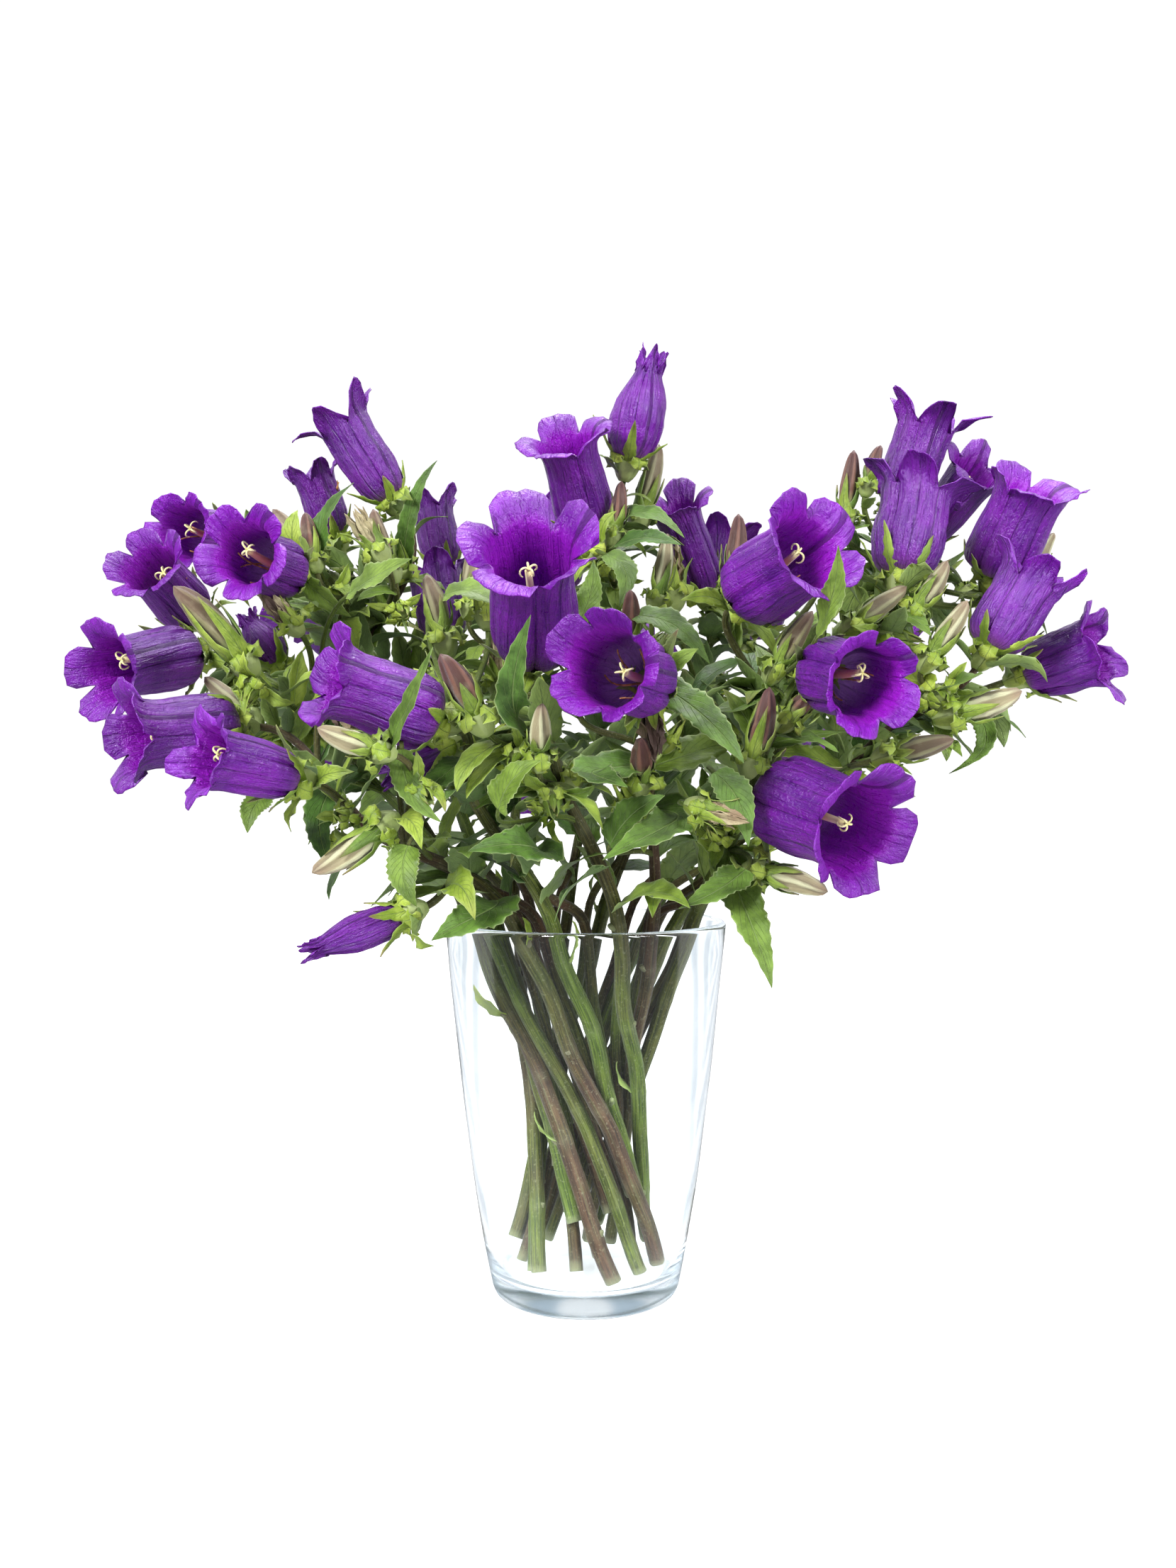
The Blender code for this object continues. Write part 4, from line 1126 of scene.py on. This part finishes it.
def foliage(piece, axis, seed, lines, spacing, lengths, start_height, tint, heads):
    """Leaves in a spiral along an axis, some with a small flower head in their angle."""
    dice = np.random.default_rng(seed)
    grain, side, normal = frames_along(axis)
    along = travel(axis)
    place_at = dice.uniform(0, spacing)
    turn = dice.uniform(0, TAU)
    while place_at < along[-1] - 3 * MM:
        point = np.array([np.interp(place_at, along, axis[:, k]) for k in range(3)])
        i = min(int(np.searchsorted(along, place_at)), len(axis) - 1)
        share = place_at / along[-1]
        if point[2] > start_height:
            length = (lengths[0] + (lengths[1] - lengths[0]) * share) * dice.uniform(0.75, 1.25) * MM
            for attempt in range(10):
                way = outward(side[i], normal[i], turn)
                size = length * (1 - 0.06 * attempt)
                half = size * dice.uniform(0.13, 0.20)
                tone = np.clip(tint + dice.uniform(-0.35, 0.3), 0, 1)
                own_seed = int(dice.integers(1 << 30))
                if extra_leaf(piece, point, grain[i], way, size, half, tone, own_seed, lines):
                    break
                turn += 1.3
            if dice.uniform() < heads and point[2] > HEAD_START:
                turn = small_head(piece, point, (grain[i], side[i], normal[i]), turn, dice, lines)
        turn += 2.4
        # fewer leaves near the vase
        place_at += spacing * dice.uniform(0.7, 1.3) * (2.3 if point[2] < CLOSE_START else 1.15)


def bark(wood, green, axis, maroon, index):
    """The skin of a main stem: ribbed, swollen at its leaf joints, pale where it was cut, with scars and
    stubs."""
    dice = np.random.default_rng(BARK_SEED + index)
    along = travel(axis) / MM
    joints = np.cumsum(dice.uniform(26, 48, 9)) + dice.uniform(-8, 4)
    near = np.exp(-((along[:, None] - joints[None, :]) / 1.9) ** 2).sum(1)
    width = dice.uniform(2.5, 3.2)
    radii = (width - 1.7 * np.clip((along - 130) / 150, 0, 1)) * (1 + 0.08 * near) * MM
    cut = np.exp(-along / 1.2)
    tone = np.clip(maroon + 0.35 * np.sin(along / 37 + index), 0, 1)
    look = stacked(tone, np.clip(0.06 * near + 0.5 * cut, 0, 1), index / STEM_COUNT)
    sweep(wood, axis, radii, 15, look, ribs=5, rib=0.07, turn=60)
    tangent, side, normal = frames_along(axis)
    for joint in joints[joints < 150]:
        i = int(np.argmin(np.abs(along - joint)))
        turn = dice.uniform(0, TAU)
        out = outward(side[i], normal[i], turn)
        reach = dice.uniform(0.8, 2.0) * MM
        start = axis[i] + out * radii[i] * 0.6
        stub = bezier(start, start + out * reach * 0.6, start + (out + tangent[i] * 0.6) * reach,
                      start + (out + tangent[i]) * reach * 1.2, 5)
        sweep(wood, stub, np.array((1.7, 1.4, 1.1, 1.0, 0.9)) * MM, 7, (maroon, 0.25, 0.5))
        if dice.uniform() < 0.22 and axis[i][2] > 0.06:
            length = dice.uniform(9, 15) * MM
            rise = tangent[i]
            ways = (out + rise) * 0.3, (out + rise * 1.4) * 0.6, (out * 0.6 + rise * 1.5) * 0.8
            path = bezier(start, *(start + way * length for way in ways), 11)
            if inside_vase(path):
                leaf(green, path, length * 0.2, out, (0.7, 0, 0.1), lance, fold=0.3, wave=0.2, crest=8,
                     teeth=0.14, seed=index * 20 + i, cols=5)


def side_stem(wood, axis, index):
    """A thinner branch that leaves its stem above the rim and stands in the vase beside it, nearer the
    middle."""
    dice = np.random.default_rng(SIDE_STEM_SEED + index)
    angle = math.radians(-90 + 360 / STEM_COUNT * (index + 0.5))
    out = spoke(angle) * dice.uniform(11.5, 13.5)
    lean = spoke(angle - TAU / 4) * dice.uniform(0.30, 0.42)
    heights = np.linspace(SIDE_FOOT_HEIGHTS[index], RIM_HEIGHT - 4, 30)
    low = (out + np.outer(heights - WAIST_HEIGHT, lean) + np.outer(heights, UP)) * MM
    sway = heights / 61.0 * TAU + index * 1.7
    low += (np.outer(np.cos(sway), unit(out)) + np.outer(np.sin(sway), lean)) * 0.7 * MM
    join = axis[LOW_ROWS + 5]
    rise = unit(low[-1] - low[-2])
    reach = np.linalg.norm(join - low[-1])
    grain = unit(axis[LOW_ROWS + 6] - axis[LOW_ROWS + 4])
    bend = bezier(low[-1], low[-1] + rise * reach * 0.4, join - grain * reach * 0.4, join, 9)
    path = np.concatenate([low, bend[1:]])
    along = np.linspace(0, 1, len(path))
    maroon = dice.uniform(0, 1)
    look = stacked(np.clip(maroon + 0.3 * np.sin(along * 9), 0, 1), 0.5 * np.exp(-along * 90), 0.5)
    radii = dice.uniform(2.0, 2.7) * (1 - 0.25 * along) * MM
    sweep(wood, path, radii, 13, look, ribs=5, rib=0.07, turn=60)


def spent(green, root, heading, size, tone, seed):
    """A withered head: long dry sepals standing round a shrivelled corolla on a green calyx."""
    dice = np.random.default_rng(seed)
    basis = turned_to(heading, dice.uniform(0, TAU))
    calyx(green, basis, root, lambda q: (4.4 - 2.2 * q) * size * MM, 16 * size * MM, seed, sepal=14, tint=0.6,
          size=size, fine=0)
    for k in range(7):
        out = spoke(k * TAU / 7 + dice.uniform(-0.3, 0.3))
        length = dice.uniform(13, 22) * size * MM
        wide = dice.uniform(1.0, 3.4) * size * MM
        path = bezier(out * 2 * MM, out * 3.5 * size * MM + UP * length * 0.4,
                      out * wide + UP * length * 0.75, out * dice.uniform(0, 5) * size * MM + UP * length, 9)
        leaf(green, path @ basis + root, dice.uniform(1.6, 2.6) * size * MM, out @ basis,
             (0.5, tone + dice.uniform(-0.25, 0.25), 0.6), lance, fold=0.6, wave=0.5, crest=6, thick=0.4 * MM,
             seed=seed * 5 + k, cols=5, twist=dice.uniform(-1.2, 1.2))


def rows_of(table, number):
    """The rows of one stem: the place in the table, then the values, with points in metres."""
    for place, (stem, *values) in enumerate(table):
        if stem == number:
            yield place, *(mm(v) if isinstance(v, tuple) else v for v in values)


def build_stem(index, mats, lines):
    """A stem with all that grows on it. The first bell of a stem stands at its top, the others on side
    shoots."""
    number = index + 1
    name = f"stem_{number:02d}"
    wood, green, tips, styles = (Piece(f"{name}_{part}") for part in ("bark", "leaves", "buds", "styles"))
    dice = np.random.default_rng(STEM_SEED + index)
    maroon = STEM_MAROON[index]
    axis = None
    for place, kind, width, base, mouth, own in rows_of(BELLS, number):
        node = f"bell_{place + 1:02d}"
        length = np.linalg.norm(mouth - base)
        heading = unit(mouth - base)
        origin = seat(node, heading)
        under = origin - heading * 7 * MM
        seed = (place + 1) * 31
        own = {"roll": seed % 72, "tube": 1.0, "lobe": 1.0, "curl": 1.0, "width": 1.0, **own}
        basis = turned_to(heading, math.radians(own["roll"] - 180))
        if axis is None:
            axis = stem_axis(index, under, heading)
            bark(wood, green, axis, maroon, index)
        else:
            path = shoot(wood, axis, under, heading, 10, (1.6, 1.35), maroon * 0.6)
            foliage(green, path, seed + 3, lines, 6 * MM, (34, 24), SHOOT_LEAF_START, 0.40, 0.15)
        *wall, profile = corolla(kind, length, width, seed, own)
        piece = Piece(node + "_petals")
        add_corolla(piece, *wall, basis, origin)
        piece.finish(mats["petal"], "petal", [node])
        calyx(green, basis, origin, profile, length, seed, tint=0.6)
        bracts(green, basis, origin, 1.0, seed + 4, 0.45, reach=(16, 26))
        if kind != "shut":
            style(styles, basis, origin, 0.86 * length, seed + 9)
    for _, root, tip, radius, tint in rows_of(BUDS, number):
        heading = unit(tip - root)
        seed = int(abs(root @ (11000, 23000, 37000)))
        path = shoot(wood, axis, root - heading * 6 * MM, heading, 8, (1.3, 1.15), maroon * 0.6)
        bud(tips, green, root, tip, radius * MM, tint, seed)
        foliage(green, path, seed + 3, lines, 7 * MM, (30, 22), SHOOT_LEAF_START, 0.42, 0.15)
    for k, root, middle, tip, half in rows_of(LEAVES, number):
        start = axis[LOW_ROWS + int(np.linalg.norm(axis[LOW_ROWS:] - root, axis=1).argmin())]
        leaf(green, bezier(start, root, middle, tip, 27), half * MM, unit(UP * 0.6 - AWAY * 0.8),
             (dice.uniform(0, 0.2), 0, 0), ovate, fold=0.25, wave=0.16, crest=17, teeth=0.13,
             seed=LEAF_SEED + k, twist=dice.uniform(-0.4, 0.4))
    for k, root, middle, tip, half in rows_of(SHOOT_LEAVES, number):
        shoot(wood, axis, root, unit(middle - root), 8, (1.2, 0.8), maroon * 0.4)
        path = bezier(root, (root + middle) / 2, middle, tip, 23)
        leaf(green, path, half * MM, unit(UP - AWAY), (dice.uniform(0, 0.3), 0, 0), ovate, fold=0.22,
             wave=0.14, crest=15, teeth=0.13, seed=SHOOT_LEAF_SEED + k,
             twist=dice.uniform(-0.4, 0.4))
    side_stem(wood, axis, index)
    for k, root, tip, size, tone in rows_of(SPENT, number):
        heading = unit(tip - root)
        shoot(wood, axis, root - heading * 7 * size * MM, heading, 8, (1.3, 1.15), maroon * 0.6)
        spent(green, root, heading, size, tone, SPENT_SEED + k)
    foliage(green, axis, FOLIAGE_SEED + index, lines, 5 * MM, (46, 30), STEM_LEAF_START, 0.20, 0.20)
    wood.finish(mats["stem"], "stem", [name])
    for piece, slot in ((green, "leaf"), (tips, "bud"), (styles, "style")):
        if piece.count:
            piece.finish(mats[slot], slot)


def build_bouquet():
    mats = {"petal": petal_material(), "leaf": leaf_material(), "bud": bud_material(),
            "stem": stem_material(), "style": style_material()}
    lines = keep_outs()
    for index in range(STEM_COUNT):
        build_stem(index, mats, lines)


# ---------------------------------------------------------------- studio


def add_object(name, data):
    obj = bpy.data.objects.new(name, data)
    bpy.context.scene.collection.objects.link(obj)
    return obj


def build_floor(radius=9.0, below=-0.0004, sides=48):
    mesh = bpy.data.meshes.new("floor")
    angles = np.linspace(0, TAU, sides, endpoint=False)
    ring = [(math.cos(a) * radius, math.sin(a) * radius, below) for a in angles]
    mesh.from_pydata(ring, [], [tuple(range(sides))])
    mesh.materials.append(floor_material())
    add_object("floor", mesh)


def build_world():
    """White all round. Mirrored it is dark but for a white wall behind and a ceiling, and through the glass
    it has bright panels that draw the walls of the vase."""
    world = bpy.data.worlds.new("studio")
    world.use_nodes = True
    bpy.context.scene.world = world
    n = Nodes(world.node_tree)
    path = n.add("ShaderNodeLightPath").outputs
    x, y, z = n.parts(n.add("ShaderNodeTexCoord").outputs["Generated"])
    panels = n.span(n.maths("COSINE", n.times(n.maths("ARCTAN2", y, x), 8.0)), -0.5, 0.45)
    through = n.blend(panels, (0.50, 0.60, 0.68), (1.04, 1.04, 1.04))
    through = n.blend(n.span(y, 0.0, -0.3), through, (0.80, 0.85, 0.90))
    white = n.maths("MAXIMUM", n.span(y, -0.15, 0.55), n.span(z, 0.45, 0.85))
    mirrored = n.blend(white, (0.08, 0.08, 0.09), (1.05, 1.05, 1.1))
    soft = n.blend(path["Is Glossy Ray"], (0.30, 0.30, 0.30), mirrored)
    straight = n.minus(path["Is Transmission Ray"], path["Diffuse Depth"], clamp=True)
    light = n.blend(path["Is Camera Ray"], n.blend(straight, soft, through), (1.04, 1.04, 1.04))
    n.fill(world.node_tree.nodes["Background"], {"Color": light, "Strength": 1.0})


def build_lights():
    centre = Vector((0, 0, 0.22))
    for name, spot, size, power in (("key", (-1.1, -1.5, 1.25), 0.7, 52), ("fill", (1.4, -1.2, 0.9), 0.9, 29),
                                    ("top", (0.1, 0.5, 1.9), 1.0, 27)):
        lamp = bpy.data.lights.new(name, "AREA")
        lamp.shape = "DISK"
        lamp.size = size
        lamp.energy = power
        obj = add_object(name, lamp)
        obj.location = spot
        obj.rotation_euler = (centre - Vector(spot)).to_track_quat("-Z", "Y").to_euler()


def build_camera():
    camera = bpy.data.cameras.new("camera")
    camera.sensor_width = 36.0
    camera.lens = 33.4
    obj = add_object("camera", camera)
    obj.location = CAMERA_PLACE
    obj.rotation_euler = (math.radians(90), 0, 0)
    bpy.context.scene.camera = obj


build_vase()
build_bouquet()
build_floor()
build_world()
build_lights()
build_camera()
scene = bpy.context.scene
scene.view_settings.view_transform = "Standard"
# light turns many times in the thick glass of the vase's base
scene.cycles.max_bounces = 20
scene.cycles.glossy_bounces = 16
